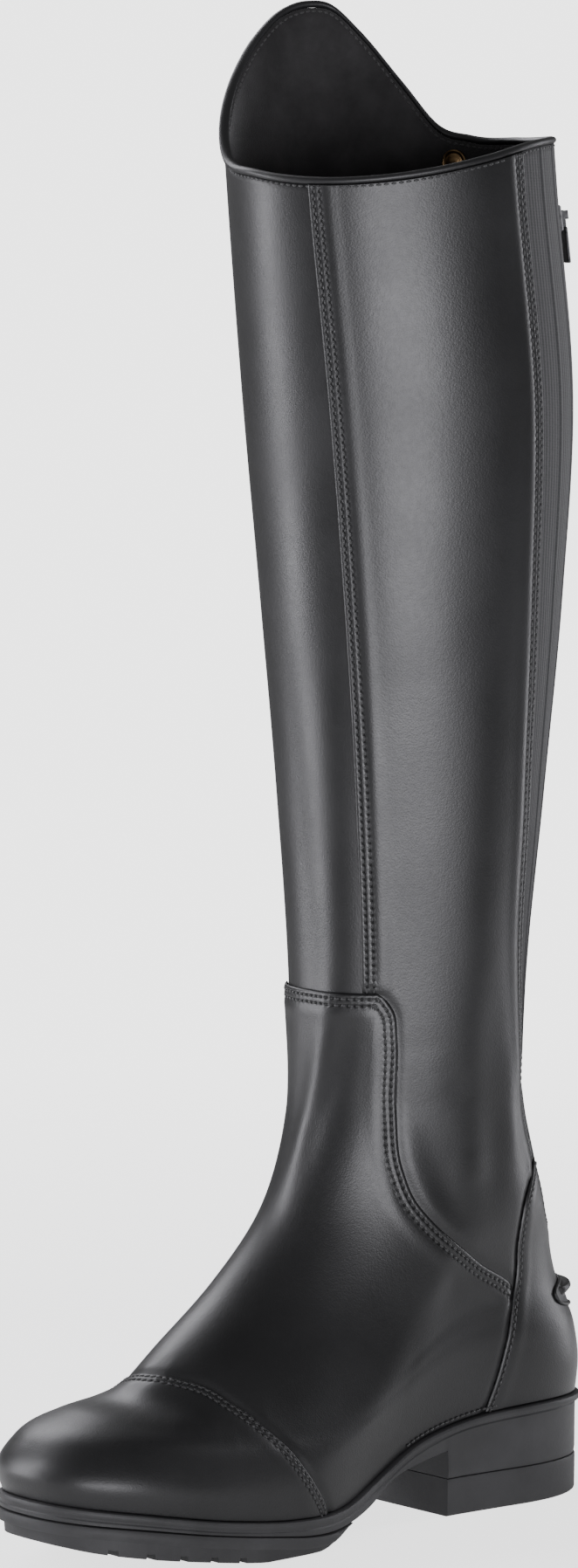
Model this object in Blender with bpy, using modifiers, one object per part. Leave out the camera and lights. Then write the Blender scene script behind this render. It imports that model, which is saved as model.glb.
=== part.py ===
"""Tall riding boot for the right foot, toe towards -Y and inner side towards +X.

The leather follows one form: rings set by the rows of SECTIONS, from the feather line above the
sole up to the collar. Sole pieces follow the same outline, so a changed row carries all with it.
Sizes below are in millimetres and degrees; meshes are written in metres.
"""
import bpy
import bmesh
import math
from functools import lru_cache
from mathutils import Matrix, Vector

MM = 0.001
ORIGIN = (0.0, -56.5)

UPPER_WALL = 1.8
PANEL_SKIN = 1.2
CAP_SKIN = 1.2
GUSSET_SKIN = 0.8
FACING_SKIN = 1.0
CHAIN_SKIN = 1.4
GAP = 0.3
HEM = 0.8
WELD = 0.02
SHARP_ANGLE = 35.0

SECTION_COLUMNS = (
    "z_front", "z_back", "front", "back", "ball_in", "ball_out", "waist_in", "waist_out",
    "heel_in", "heel_out", "ball_at", "heel_at", "toe_p", "heel_p", "turn", "swing", "sag", "steps")
SECTIONS = (
    (27.3, 36.3, -179, 67, 43, 44, 29, 35, 27, 29, 0.37, 0.84, 2.5, 2.2, 0, 9, 1.00, 2),
    (36, 48, -181, 68, 45, 46, 32, 37, 29, 31, 0.37, 0.83, 2.5, 2.2, 0, 9, 0.95, 2),
    (45, 60, -174, 67, 44, 44, 34, 37, 30, 32, 0.38, 0.80, 2.4, 2.2, 0, 8, 0.85, 2),
    (52, 70, -157, 64, 40, 41, 34, 36, 30, 32, 0.40, 0.76, 2.2, 2.2, 0, 6, 0.70, 2),
    (59, 80, -133, 60, 36, 37, 33, 34, 30, 32, 0.43, 0.70, 2.1, 2.2, 0, 4, 0.50, 2),
    (71, 93, -108, 56, 33, 34, 32, 33, 30, 31, 0.45, 0.64, 2.0, 2.2, 2, 2, 0.30, 2),
    (88, 110, -81, 52, 32, 33, 32, 32, 31, 31, 0.48, 0.58, 2.0, 2.2, 5, 0, 0.15, 2),
    (112, 128, -58, 47, 33, 33, 32, 32, 32, 32, 0.50, 0.52, 2.0, 2.1, 8, 0, 0.05, 2),
    (145, 150, -45, 42, 34, 34, 34, 34, 34, 34, 0.50, 0.50, 2.1, 2.1, 10, 0, 0.00, 2),
    (187, 187, -44, 42, 37, 37, 37, 37, 37, 37, 0.50, 0.50, 2.1, 2.1, 12, 0, 0.00, 2),
    (260, 260, -47, 49, 44, 44, 44, 44, 44, 44, 0.50, 0.50, 2.1, 2.1, 15, 0, 0.00, 2),
    (330, 330, -52, 56, 51, 51, 51, 51, 51, 51, 0.50, 0.50, 2.1, 2.1, 18, 0, 0.00, 1),
    (400, 400, -58, 60, 55, 55, 55, 55, 55, 55, 0.50, 0.50, 2.1, 2.1, 20, 0, 0.00, 3),
    (480, 480, -65, 52, 55, 55, 55, 55, 55, 55, 0.50, 0.50, 2.1, 2.1, 22, 0, 0.00, 0),
    (550, 550, -70, 46, 55, 55, 55, 55, 55, 55, 0.50, 0.50, 2.1, 2.1, 23, 0, 0.00, 0),
)
CALF_ROW = 12

FEATHER_LINE = (
    (0.0, 27.0), (0.085, 23.5), (0.25, 16.0), (0.36, 12.8), (0.46, 13.2),
    (0.56, 21.0), (0.64, 29.0), (0.72, 33.5), (0.85, 36.0), (1.0, 36.0))
COLLAR_LINE = (
    (-15, 496), (-6, 490), (18, 485), (53, 482), (72, 483), (87, 485), (107, 489), (131, 494), (161, 496),
    (198, 496), (221, 497), (234, 501), (246, 516), (261, 535), (272, 545), (280, 546), (291, 543),
    (305, 533), (318, 521), (334, 506), (345, 496), (354, 490), (378, 485))
REAR_EDGE = ((0, 128), (100, 140), (125, 149), (150, 148), (180, 143), (207, 136), (260, 130), (600, 128))

FRONT_SEAM = 43.0
FACING_OUT = 16.0
FACING_IN = 4.6
CHAIN_HALF = 3.7
HEEL_SWING = 4.0
BINDING_DROP = 3.0
BINDING_SECTION = ((-2.4, 0.5), (2.1, 0.5), (2.4, 1.7), (1.3, 3.2), (-1.5, 3.2), (-2.7, 1.7))

FAR = 260.0
CAP_SKEW = 0.25
CAP_SKEW_FROM = 40.0
CAP_SEAM = (
    (-75, 0), (-76, 14), (-85, 25.5), (-91.5, 35), (-97.7, 44.3), (-104.3, 54.7), (-111.3, 62.2),
    (-117, 64.5), (-121, 70), (-122, 90))
VAMP_EDGE = (
    (-33, 192), (-29.5, 186), (-28, 176), (-27.6, 150), (-26, 128), (-21.5, 116), (-13, 106), (5.8, 92),
    (24.4, 79.5), (23, 75), (18.3, 59), (11, 36), (5, 18), (-40, 0))
COUNTER_OUTLINE = (
    (5, 18), (11, 36), (18.3, 59), (23, 75), (25.7, 84), (26.3, 98.6), (29, 112), (38.7, 125.5),
    (44, 109), (50, 101), (60, 98), (85, 98), (85, 18))

RAND_OUT = 3.2
RAND_BULGE = 0.4
RAND_ROLL = 1.6
RAND_EDGE = 3.6
HEEL_TUCK = 1.4
HEEL_TAPER = 0.2
HEEL_EASE = (0.06, 0.1)
WELT_OUT = 4.6
WELT_HEIGHT = 4.2
WELT_SHARE = 0.6
WELT_ROUND = (0.4, 0.35, 0.5)
LUG_OUT = (1.6, 1.0)
LUG_STEP = 0.2
LUG_LEAST = 0.5
RAND_LOW = (
    (0.0, 22.0), (0.085, 18.8), (0.2, 13.6), (0.325, 8.8), (0.38, 7.0), (0.43, 6.6), (0.48, 8.2),
    (0.52, 11.0), (0.577, 18.0), (0.64, 21.8), (0.70, 24.0))
TREAD_LOW = (
    (0.0, 13.0), (0.03, 11.0), (0.1, 7.6), (0.2, 3.6), (0.29, 0.4), (0.35, -1.0), (0.415, 0.2),
    (0.45, 2.2), (0.48, 5.0))
TREAD_END = 0.475
TREAD_FLAT = (0.305, 0.34, 0.375, 0.408, 0.43, 0.45)
TOE_STATIONS = (0, 6, 12, 18, 23)
HEEL_STATIONS = (155, 161, 167)
GROOVE_WALL = 0.0006
BREAST_WALL = 0.05
LUG_GROOVES = (0.06, 0.11, 0.16, 0.21, 0.26)
LUG_GROOVE_WIDTH = 3.0
LUG_GROOVE_DEPTH = 1.8
HEEL_BREAST = 0.70
HEEL_SPLIT = 14.0
LIFT_SECTION = ((1.5, HEEL_SPLIT - GAP), (1.7, HEEL_SPLIT - 1.5), (1.5, 0.9), (0.7, 0.0))
INSOLE_THICK = 3.0
INSOLE_INSET = 4.0

SLIDER_Z = 466.0
SLIDER_BODY = (8.6, 2.2, 9.5)
EAR_GAP = 3.4
EAR_SIZE = (1.1, 3.6, 3.2)
EAR_RISE = 1.0
SLIDER_BEVEL = 0.5
PIN_RADIUS = 0.6
PIN_RISE = 1.6
PIN_UP = 1.0
PIN_SIDES = 12
BARREL_RADIUS = 1.5
BARREL_HOLE = 0.9
NECK_LENGTH = 5.0
NECK_DROP = 2.3
PULL_SIZE = (5.0, 1.2, 13.0)
PULL_DROP = 3.4
PULL_BEVEL = 0.3
STUD_AT = (227.0, 487.0)
STUD_RADIUS = 4.8
STUD_THICK = 1.6
STUD_SEAT = 1.15
STUD_SIDES = 20
SPUR_Z = 72.5
SPUR_HALF = 35.0
SPUR_HEIGHT = 11.5
SPUR_SKIN = 1.1
SPUR_SEAT = 2 * GAP + PANEL_SKIN + 0.1
SPUR_P = 2.6
SPUR_COLUMNS = 16
SPUR_ROWS = 4
LEDGE_OUT = 4.5
LEDGE_SHARE = 0.8
LEDGE_BLUNT = 1.06
LEDGE_ROWS = 11
LEDGE_SINK = 0.3
LEDGE_SECTION = ((0, -1.0), (1, 0.2), (1, 2.8), (0, 2.2))

COLOURS = {
    "upper": (0.012, 0.012, 0.013, 0.6), "vamp": (0.016, 0.016, 0.017, 0.38),
    "toe_cap": (0.016, 0.016, 0.017, 0.34), "heel_counter": (0.016, 0.016, 0.017, 0.36),
    "shaft_panel_inner": (0.017, 0.017, 0.018, 0.38), "shaft_panel_outer": (0.017, 0.017, 0.018, 0.38),
    "elastic_gusset": (0.022, 0.022, 0.023, 0.7), "zip_facing_inner": (0.015, 0.015, 0.016, 0.45),
    "zip_facing_outer": (0.015, 0.015, 0.016, 0.45), "zip_chain": (0.02, 0.02, 0.021, 0.5),
    "zip_slider": (0.06, 0.06, 0.062, 0.35), "zip_pull": (0.06, 0.06, 0.062, 0.35),
    "press_stud": (0.23, 0.15, 0.07, 0.3), "spur_rest": (0.014, 0.014, 0.015, 0.45),
    "collar_binding": (0.013, 0.013, 0.014, 0.45), "sole_unit": (0.03, 0.03, 0.031, 0.6),
    "outsole": (0.028, 0.028, 0.029, 0.65), "heel_lift": (0.028, 0.028, 0.029, 0.65),
    "insole": (0.02, 0.02, 0.02, 0.9)}


def curve(x, points):
    """Smooth value at x through (x, y) points, with each tangent taken from its neighbours."""
    n = len(points)
    i = 0
    while i < n - 2 and x > points[i + 1][0]:
        i += 1

    def slope(k):
        return (points[k + 1][1] - points[k][1]) / (points[k + 1][0] - points[k][0])

    def tangent(k):
        if k == 0:
            return slope(0)
        if k == n - 1:
            return slope(n - 2)
        before = points[k][0] - points[k - 1][0]
        after = points[k + 1][0] - points[k][0]
        return (slope(k - 1) * after + slope(k) * before) / (before + after)

    h = points[i + 1][0] - points[i][0]
    s = (x - points[i][0]) / h
    return ((1 + 2 * s) * (1 - s) ** 2 * points[i][1] + s * (1 - s) ** 2 * h * tangent(i)
            + s * s * (3 - 2 * s) * points[i + 1][1] + s * s * (s - 1) * h * tangent(i + 1))


def ease(s):
    s = min(max(s, 0.0), 1.0)
    return s * s * (3 - 2 * s)


def row_levels():
    """Length along the front of the form at each row of SECTIONS."""
    levels = [0.0]
    for low, high in zip(SECTIONS, SECTIONS[1:]):
        levels.append(levels[-1] + math.hypot(high[0] - low[0], high[2] - low[2]))
    return levels


LEVELS = row_levels()
CALF = LEVELS[CALF_ROW]
TOP = LEVELS[CALF_ROW + 1]


@lru_cache(maxsize=None)
def section(v):
    """All columns of the form at front length v."""
    values = {}
    for k, name in enumerate(SECTION_COLUMNS[:-1]):
        values[name] = curve(v, [(level, row[k]) for level, row in zip(LEVELS, SECTIONS)])
    return values


def level_of_height(z):
    """Front length of the straight part of the shaft at height z."""
    return curve(z, [(row[0], level) for row, level in zip(SECTIONS[CALF_ROW:], LEVELS[CALF_ROW:])])


def half_width(f, row, side):
    """Half width of a ring at fraction f from its front to its back."""
    ball, waist, heel = row["ball_" + side], row["waist_" + side], row["heel_" + side]
    ball_at, heel_at = row["ball_at"], max(row["heel_at"], row["ball_at"])
    if f < ball_at:
        p = row["toe_p"]
        return ball * max(0.0, 1 - ((ball_at - f) / ball_at) ** p) ** (1 / p)
    if f > heel_at:
        p = row["heel_p"]
        return heel * max(0.0, 1 - ((f - heel_at) / (1 - heel_at)) ** p) ** (1 / p)
    middle = (ball_at + heel_at) / 2
    if f < middle:
        return ball + (waist - ball) * ease((f - ball_at) / (middle - ball_at))
    return waist + (heel - waist) * ease((f - middle) / max(heel_at - middle, 1e-6))


def fraction(t):
    return (1 - math.cos(math.radians(t))) / 2


def sag(f):
    """How far the feather line lies below a plain ramp from toe to heel."""
    front, back = FEATHER_LINE[0][1], FEATHER_LINE[-1][1]
    return curve(f, FEATHER_LINE) - front - (back - front) * ease((f - 0.35) / 0.45)


def form(t, v, drop=0.0):
    """Point of the leather's outer face at angle t (0 front, 90 inner, 180 back) and level v."""
    if v > CALF:
        share = (v - CALF) / (TOP - CALF)
        rim = curve(t % 360, COLLAR_LINE) - drop
        height = SECTIONS[CALF_ROW][0]
        v = level_of_height(height + share * (rim - height))
    row = section(v)
    f = fraction(t)
    inner = math.sin(math.radians(t)) >= 0
    x = half_width(f, row, "in") if inner else -half_width(f, row, "out")
    x += row["swing"] * max(0.0, 1 - f / 0.6) ** 2
    x += HEEL_SWING * row["swing"] / 9 * max(0.0, (f - 0.6) / 0.4) ** 2
    y = row["front"] + (row["back"] - row["front"]) * f
    z = row["z_front"] + (row["z_back"] - row["z_front"]) * ease((f - 0.35) / 0.45) + row["sag"] * sag(f)
    middle = (row["front"] + row["back"]) / 2
    c = math.cos(math.radians(row["turn"]))
    s = math.sin(math.radians(row["turn"]))
    return Vector((c * x + s * (y - middle), middle - s * x + c * (y - middle), z))


def normal(t, v, drop=0.0):
    """Outward direction of the form."""
    along = form(t + 0.4, v, drop) - form(t - 0.4, v, drop)
    low, high = max(v - 0.6, 0.0), min(v + 0.6, TOP)
    up = form(t, high, drop) - form(t, low, drop)
    return along.cross(up).normalized()


def skin(t, v, out, drop=BINDING_DROP):
    """Point at distance out from the leather's outer face."""
    return form(t, v, drop) + normal(t, v, drop) * out


def pace(t, v):
    """Millimetres round the ring for each degree."""
    return (form(t + 1, v) - form(t - 1, v)).length / 2


def beside(t, v, shift):
    """Angle that lies a distance in millimetres further round from t."""
    return t + shift / pace(t, v)


def strip_edge(v, offset):
    """Angle at a distance from the middle of the back, towards the inner side when positive."""
    return 180 - offset / pace(180, v)


def rear_edge(v):
    return min(curve(section(v)["z_back"], REAR_EDGE), strip_edge(v, FACING_OUT) - 4)


def ring_levels():
    """Levels of the mesh rings: each row's steps, then even steps to the collar."""
    levels = []
    for k in range(CALF_ROW + 1):
        steps = SECTIONS[k][-1]
        for n in range(steps):
            levels.append(LEVELS[k] + (LEVELS[k + 1] - LEVELS[k]) * n / steps)
    return levels + [TOP]


RINGS = ring_levels()
FRONT_COLUMNS = (-43, -33, -24, -16, -8, 0, 8, 16, 24, 33, 43)
SIDE_STEPS = 8
GUSSET_STEPS = 2


def columns(v):
    """Angles of the mesh columns at level v, once round from the outer front seam."""
    rear = rear_edge(v)
    wide = strip_edge(v, FACING_OUT)
    side = [FRONT_SEAM + (rear - FRONT_SEAM) * n / SIDE_STEPS for n in range(1, SIDE_STEPS + 1)]
    side += [rear + (wide - rear) * n / GUSSET_STEPS for n in range(1, GUSSET_STEPS + 1)]
    side.append(strip_edge(v, FACING_IN))
    return list(FRONT_COLUMNS) + side + [180.0] + [360 - t for t in reversed(side)] + [360 - FRONT_SEAM]


SEAM_INNER = 10
REAR_INNER = SEAM_INNER + SIDE_STEPS
WIDE_INNER = REAR_INNER + GUSSET_STEPS
NARROW_INNER = WIDE_INNER + 1
BACK = NARROW_INNER + 1
NARROW_OUTER = BACK + 1
WIDE_OUTER = NARROW_OUTER + 1
REAR_OUTER = WIDE_OUTER + GUSSET_STEPS
SEAM_OUTER = REAR_OUTER + SIDE_STEPS


def place(point):
    return Vector(((point[0] - ORIGIN[0]) * MM, (point[1] - ORIGIN[1]) * MM, point[2] * MM))


def new_collection(name):
    group = bpy.data.collections.new(name)
    bpy.context.scene.collection.children.link(group)
    return group


for old in list(bpy.data.objects):
    bpy.data.objects.remove(old)
PARTS = new_collection("riding_boot")
CUTTERS = new_collection("cutters")


def finish(name, bm, group=None):
    """Store the mesh as a named object with its own material."""
    mesh = bpy.data.meshes.new(name)
    bmesh.ops.recalc_face_normals(bm, faces=bm.faces)
    bm.to_mesh(mesh)
    bm.free()
    mesh.shade_smooth()
    mesh.set_sharp_from_angle(angle=math.radians(SHARP_ANGLE))
    thing = bpy.data.objects.new(name, mesh)
    (group or PARTS).objects.link(thing)
    if group is None:
        red, green, blue, rough = COLOURS[name]
        material = bpy.data.materials.new(name)
        material.use_nodes = True
        shader = material.node_tree.nodes["Principled BSDF"]
        shader.inputs["Base Color"].default_value = (red, green, blue, 1)
        shader.inputs["Roughness"].default_value = rough
        mesh.materials.append(material)
    else:
        thing.hide_render = True
        thing.display_type = "WIRE"
    return thing


def grid(across, along, mapped):
    """A grid of quads whose corners are placed by mapped(i, j)."""
    bm = bmesh.new()
    bmesh.ops.create_grid(bm, x_segments=across, y_segments=along, size=1)
    for vert in bm.verts:
        i = round((vert.co.x + 1) / 2 * across)
        j = round((vert.co.y + 1) / 2 * along)
        vert.co = place(mapped(i, j))
    bmesh.ops.triangulate(bm, faces=bm.faces, quad_method="FIXED")
    return bm


def weld(bm):
    bmesh.ops.remove_doubles(bm, verts=bm.verts, dist=WELD * MM)


def thicken(thing, thickness, offset):
    shell = thing.modifiers.new("thickness", "SOLIDIFY")
    shell.thickness = thickness * MM
    shell.offset = offset
    shell.use_even_offset = True
    return shell


def sheet(name, first, last, low, high, out, thickness, trim=(0.0, 0.0)):
    """A panel between mesh columns and rings, lying at distance out from the leather."""
    chosen = list(range(first, last + 1))

    def corner(i, j):
        v = max(RINGS[low + j], HEM)
        lap, k = divmod(chosen[i], SEAM_OUTER)
        t = columns(v)[k] + 360 * lap
        if i == 0:
            t = beside(t, v, trim[0])
        if i == len(chosen) - 1:
            t = beside(t, v, -trim[1])
        return skin(t, v, out)

    thing = finish(name, grid(len(chosen) - 1, high - low, corner))
    thicken(thing, thickness, 1)
    return thing


def tube(name, count, loop, mapped, group=None):
    """A skin round closed sections: mapped(k, n) is corner n of section k; open ends are filled."""
    bm = grid(loop, count - 1, lambda i, j: mapped(j, i % loop))
    weld(bm)
    bmesh.ops.holes_fill(bm, edges=bm.edges, sides=0)
    return finish(name, bm, group)


def prism(name, outline, skew=0.0, reach=90.0):
    """A cutter drawn in side view (y, z) and carried across the boot, further forward on the outer side."""
    bm = bmesh.new()
    shift = -skew * (reach + CAP_SKEW_FROM)
    corners = [bm.verts.new(place((-reach, y + shift, z))) for y, z in outline]
    face = bm.faces.new(corners)
    made = bmesh.ops.extrude_face_region(bm, geom=[face])
    moved = [item for item in made["geom"] if isinstance(item, bmesh.types.BMVert)]
    bmesh.ops.translate(bm, verts=moved, vec=(2 * reach * MM, 2 * reach * skew * MM, 0))
    return finish(name, bm, CUTTERS)


def grown(outline, by):
    """The outline with each corner moved outwards."""
    n = len(outline)
    pairs = zip(outline, outline[1:] + outline[:1])
    area = sum(here[0] * after[1] - after[0] * here[1] for here, after in pairs)
    turn = 1 if area > 0 else -1
    moved = []
    for i in range(n):
        before = Vector(outline[i]) - Vector(outline[i - 1])
        after = Vector(outline[(i + 1) % n]) - Vector(outline[i])
        sides = [Vector((side.y, -side.x)).normalized() * turn for side in (before, after)]
        mean = (sides[0] + sides[1]).normalized()
        reach = by / max(mean.dot(sides[0]), 0.4)
        moved.append((outline[i][0] + mean.x * reach, outline[i][1] + mean.y * reach))
    return moved


def cut(thing, cutter, operation):
    step = thing.modifiers.new(operation.lower(), "BOOLEAN")
    step.operation = operation
    step.solver = "EXACT"
    step.object = cutter


def outline(t, out):
    """Point of the feather outline in plan, moved outwards."""
    here = form(t, 0.0)
    step = form(t + 0.3, 0.0) - form(t - 0.3, 0.0)
    side = Vector((step.y, -step.x)).normalized()
    return here.x + side.x * out, here.y + side.y * out


def angle_of(f):
    return math.degrees(math.acos(1 - 2 * f))


def layered(name, angles, layers):
    """A sole piece: layers(t) gives (distance out, height) from its top edge to its bottom edge."""
    loop = 2 * len(layers(angles[0]))

    def corner(k, n):
        t = angles[k]
        rows = layers(t)
        row = rows[n] if n < len(rows) else rows[loop - 1 - n]
        x, y = outline(t if n < len(rows) else -t, row[0])
        return (x, y, row[1])

    return tube(name, len(angles), loop, corner)


# Upper
ring_count = len(RINGS) - 1
around = len(columns(0.0)) - 1
bm = grid(around, ring_count, lambda i, j: skin(columns(RINGS[j])[i], RINGS[j], 0.0))
weld(bm)
upper = finish("upper", bm)
thicken(upper, UPPER_WALL, -1)


def ring_at(height):
    """First ring whose back lies above a height."""
    return next(k for k, v in enumerate(RINGS) if section(min(v, LEVELS[-1]))["z_back"] >= height)


# Foot panels, cut in side view
foot_outline = VAMP_EDGE + ((-FAR, VAMP_EDGE[-1][1]), (-FAR, VAMP_EDGE[0][1]))
cap_outline = CAP_SEAM + ((-FAR, CAP_SEAM[-1][1]), (-FAR, CAP_SEAM[0][1]))
vamp_prism = prism("vamp_prism", grown(foot_outline, -GAP / 2))
cap_prism = prism("cap_prism", grown(cap_outline, -GAP / 2), CAP_SKEW)
cap_clear = prism("cap_clear", grown(cap_outline, GAP / 2), CAP_SKEW)
counter_prism = prism("counter_prism", grown(COUNTER_OUTLINE, -GAP / 2))
vamp_clear = prism("vamp_clear", grown(foot_outline, GAP / 2))
counter_clear = prism("counter_clear", grown(COUNTER_OUTLINE, GAP / 2))

ANKLE = ring_at(70)
ZIP_FOOT = ring_at(90)
LAST = len(RINGS) - 1

vamp = sheet("vamp", REAR_OUTER, SEAM_OUTER + REAR_INNER, 0, ring_at(205), GAP, PANEL_SKIN)
cut(vamp, vamp_prism, "INTERSECT")
cut(vamp, cap_clear, "DIFFERENCE")
toe_cap = sheet("toe_cap", REAR_OUTER + 2, SEAM_OUTER + REAR_INNER - 2, 0, ring_at(97), GAP, CAP_SKIN)
cut(toe_cap, cap_prism, "INTERSECT")
heel_counter = sheet("heel_counter", SEAM_INNER + 4, SEAM_OUTER - 4, 0, ring_at(140), GAP, PANEL_SKIN)
cut(heel_counter, counter_prism, "INTERSECT")

# Leg panels and the strips round the zip
panel_inner = sheet("shaft_panel_inner", SEAM_INNER, REAR_INNER, ANKLE, LAST, GAP, PANEL_SKIN)
panel_outer = sheet("shaft_panel_outer", WIDE_OUTER, SEAM_OUTER, ANKLE, LAST, GAP, PANEL_SKIN, (GAP, 0.0))
for panel in (panel_inner, panel_outer):
    cut(panel, vamp_clear, "DIFFERENCE")
    cut(panel, counter_clear, "DIFFERENCE")
gusset = sheet("elastic_gusset", REAR_INNER, WIDE_INNER, ZIP_FOOT, LAST, GAP, GUSSET_SKIN, (GAP, GAP))
facing_inner = sheet("zip_facing_inner", WIDE_INNER, NARROW_INNER, ZIP_FOOT, LAST, GAP, FACING_SKIN)
facing_outer = sheet("zip_facing_outer", NARROW_OUTER, WIDE_OUTER, ZIP_FOOT, LAST, GAP, FACING_SKIN)
for strip in (gusset, facing_inner, facing_outer):
    cut(strip, counter_clear, "DIFFERENCE")


def chain_corner(i, j):
    v = RINGS[ZIP_FOOT + j]
    edge = strip_edge(v, CHAIN_HALF)
    return skin((edge, 180.0, 360 - edge)[i], v, GAP)


chain = finish("zip_chain", grid(2, LAST - ZIP_FOOT, chain_corner))
thicken(chain, CHAIN_SKIN, 1)
cut(chain, counter_clear, "DIFFERENCE")

# Collar
def binding_corner(k, n):
    t = columns(TOP)[k]
    out, rise = BINDING_SECTION[n]
    return skin(t, TOP, out) + Vector((0, 0, rise))


tube("collar_binding", around + 1, len(BINDING_SECTION), binding_corner)


# Sole
def feather(t):
    return curve(fraction(t), FEATHER_LINE)


def rand_low(t):
    f = fraction(t)
    return HEEL_SPLIT if f > HEEL_BREAST else curve(f, RAND_LOW)


def sole_layers(t):
    top = feather(t)
    low = rand_low(t)
    heel = ease((fraction(t) - HEEL_BREAST + HEEL_EASE[0]) / HEEL_EASE[1])
    waist = RAND_OUT - HEEL_TUCK * heel
    return ((RAND_OUT, top), (RAND_OUT + RAND_BULGE, top - RAND_ROLL), (waist, top - RAND_EDGE),
            (waist - HEEL_TAPER * heel, low))


def tread_low(f):
    return max(curve(f, TREAD_LOW), 0.0)


def in_groove(f):
    return any(abs(f - at) < 0.5 * LUG_GROOVE_WIDTH / FOOT_LENGTH for at in LUG_GROOVES)


def tread_layers(t):
    f = fraction(t)
    top = rand_low(t) - GAP
    low = tread_low(f)
    edge = min(WELT_HEIGHT, WELT_SHARE * (top - low))
    if in_groove(f):
        low = min(low + LUG_GROOVE_DEPTH, top - edge - LUG_LEAST)
    above, share, below = WELT_ROUND
    return ((WELT_OUT - above, top), (WELT_OUT, top - share * edge), (WELT_OUT - below, top - edge),
            (LUG_OUT[0], top - edge - LUG_STEP), (LUG_OUT[1], low))


def lift_layers(t):
    return LIFT_SECTION


def insole_layers(t):
    base = feather(t) + GAP
    return ((-INSOLE_INSET, base + INSOLE_THICK), (-INSOLE_INSET, base))


FOOT_LENGTH = SECTIONS[0][3] - SECTIONS[0][2]
breast = angle_of(HEEL_BREAST)
half_round = columns(0.0)[FRONT_COLUMNS.index(0):BACK + 1]
front_angles = [t for t in half_round if t < breast - BREAST_WALL]
heel_angles = sorted([t for t in half_round if t > breast + BREAST_WALL] + list(HEEL_STATIONS))
layered("sole_unit", front_angles + [breast - BREAST_WALL, breast + BREAST_WALL] + heel_angles, sole_layers)

groove_angles = []
for at in LUG_GROOVES:
    for side in (-0.5, 0.5):
        mark = at + side * LUG_GROOVE_WIDTH / FOOT_LENGTH
        groove_angles += [angle_of(mark - GROOVE_WALL), angle_of(mark + GROOVE_WALL)]
flat_angles = [angle_of(f) for f in TREAD_FLAT + (TREAD_END,)]
tread_angles = sorted(list(TOE_STATIONS) + groove_angles + flat_angles)
layered("outsole", tread_angles, tread_layers)
layered("heel_lift", [breast + BREAST_WALL] + heel_angles, lift_layers)
layered("insole", front_angles + [breast] + heel_angles, insole_layers)


# Hardware
def back_level(z):
    low, high = 0.0, LEVELS[-1]
    for _ in range(50):
        middle = (low + high) / 2
        if section(middle)["z_back"] < z:
            low = middle
        else:
            high = middle
    return low


def collar_level(t, z):
    height = SECTIONS[CALF_ROW][0]
    return CALF + (TOP - CALF) * (z - height) / (curve(t % 360, COLLAR_LINE) - BINDING_DROP - height)


def local_frame(t, v, out):
    """Matrix whose Y points out of the leather and whose Z points up along it."""
    outward = normal(t, v)
    around_ring = (form(t + 0.4, v) - form(t - 0.4, v)).normalized()
    upward = outward.cross(around_ring)
    at = place(skin(t, v, out))
    rows = Matrix((-around_ring, outward, upward)).transposed()
    return Matrix.Translation(at) @ rows.to_4x4()


def block(name, size, centre, frame, bevel=0.0, group=None):
    bm = bmesh.new()
    bmesh.ops.create_cube(bm, size=1)
    bmesh.ops.scale(bm, vec=[value * MM for value in size], verts=bm.verts)
    if bevel:
        bmesh.ops.bevel(bm, geom=bm.edges[:], offset=bevel * MM, segments=1, affect="EDGES", profile=0.5)
    bmesh.ops.translate(bm, vec=[value * MM for value in centre], verts=bm.verts)
    bmesh.ops.transform(bm, matrix=frame, verts=bm.verts)
    return finish(name, bm, group)


def rod(name, radius, length, centre, frame, axis, sides=16, group=None):
    bm = bmesh.new()
    bmesh.ops.create_cone(bm, cap_ends=True, segments=sides, radius1=radius * MM, radius2=radius * MM,
                          depth=length * MM)
    if axis == "X":
        bmesh.ops.rotate(bm, matrix=Matrix.Rotation(math.pi / 2, 3, "Y"), verts=bm.verts)
    if axis == "Y":
        bmesh.ops.rotate(bm, matrix=Matrix.Rotation(math.pi / 2, 3, "X"), verts=bm.verts)
    bmesh.ops.translate(bm, vec=[value * MM for value in centre], verts=bm.verts)
    bmesh.ops.transform(bm, matrix=frame, verts=bm.verts)
    return finish(name, bm, group)


zip_frame = local_frame(180.0, collar_level(180.0, SLIDER_Z), GAP + CHAIN_SKIN + GAP)
thick = SLIDER_BODY[1]
PIN_AT = (0, thick + PIN_RISE, PIN_UP)
ear_apart = EAR_GAP + EAR_SIZE[0]
slider = block("zip_slider", SLIDER_BODY, (0, thick / 2, 0), zip_frame, SLIDER_BEVEL)
for side in (-1, 1):
    ear_at = (side * ear_apart / 2, thick + EAR_RISE, PIN_UP)
    cut(slider, block("slider_ear", EAR_SIZE, ear_at, zip_frame, 0.0, CUTTERS), "UNION")
pin = rod("slider_pin", PIN_RADIUS, ear_apart, PIN_AT, zip_frame, "X", PIN_SIDES, CUTTERS)
cut(slider, pin, "UNION")

# The pull's origin lies on its hinge
hinge = zip_frame @ Vector([value * MM for value in PIN_AT])
pull_frame = Matrix.Translation(-hinge) @ zip_frame
barrel_wide = EAR_GAP - 2 * GAP
neck_size = (barrel_wide - GAP, PULL_SIZE[1], NECK_LENGTH)
pull = rod("zip_pull", BARREL_RADIUS, barrel_wide, PIN_AT, pull_frame, "X")
pull.location = hinge
neck = block("pull_neck", neck_size, (0, PIN_AT[1], -NECK_DROP), zip_frame, 0.0, CUTTERS)
tab_at = (0, PIN_AT[1], -PULL_DROP - PULL_SIZE[2] / 2)
tab = block("pull_tab", PULL_SIZE, tab_at, zip_frame, PULL_BEVEL, CUTTERS)
bore = rod("pull_bore", BARREL_HOLE, 2 * EAR_GAP, PIN_AT, zip_frame, "X", PIN_SIDES, CUTTERS)
cut(pull, neck, "UNION")
cut(pull, tab, "UNION")
cut(pull, bore, "DIFFERENCE")

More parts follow.
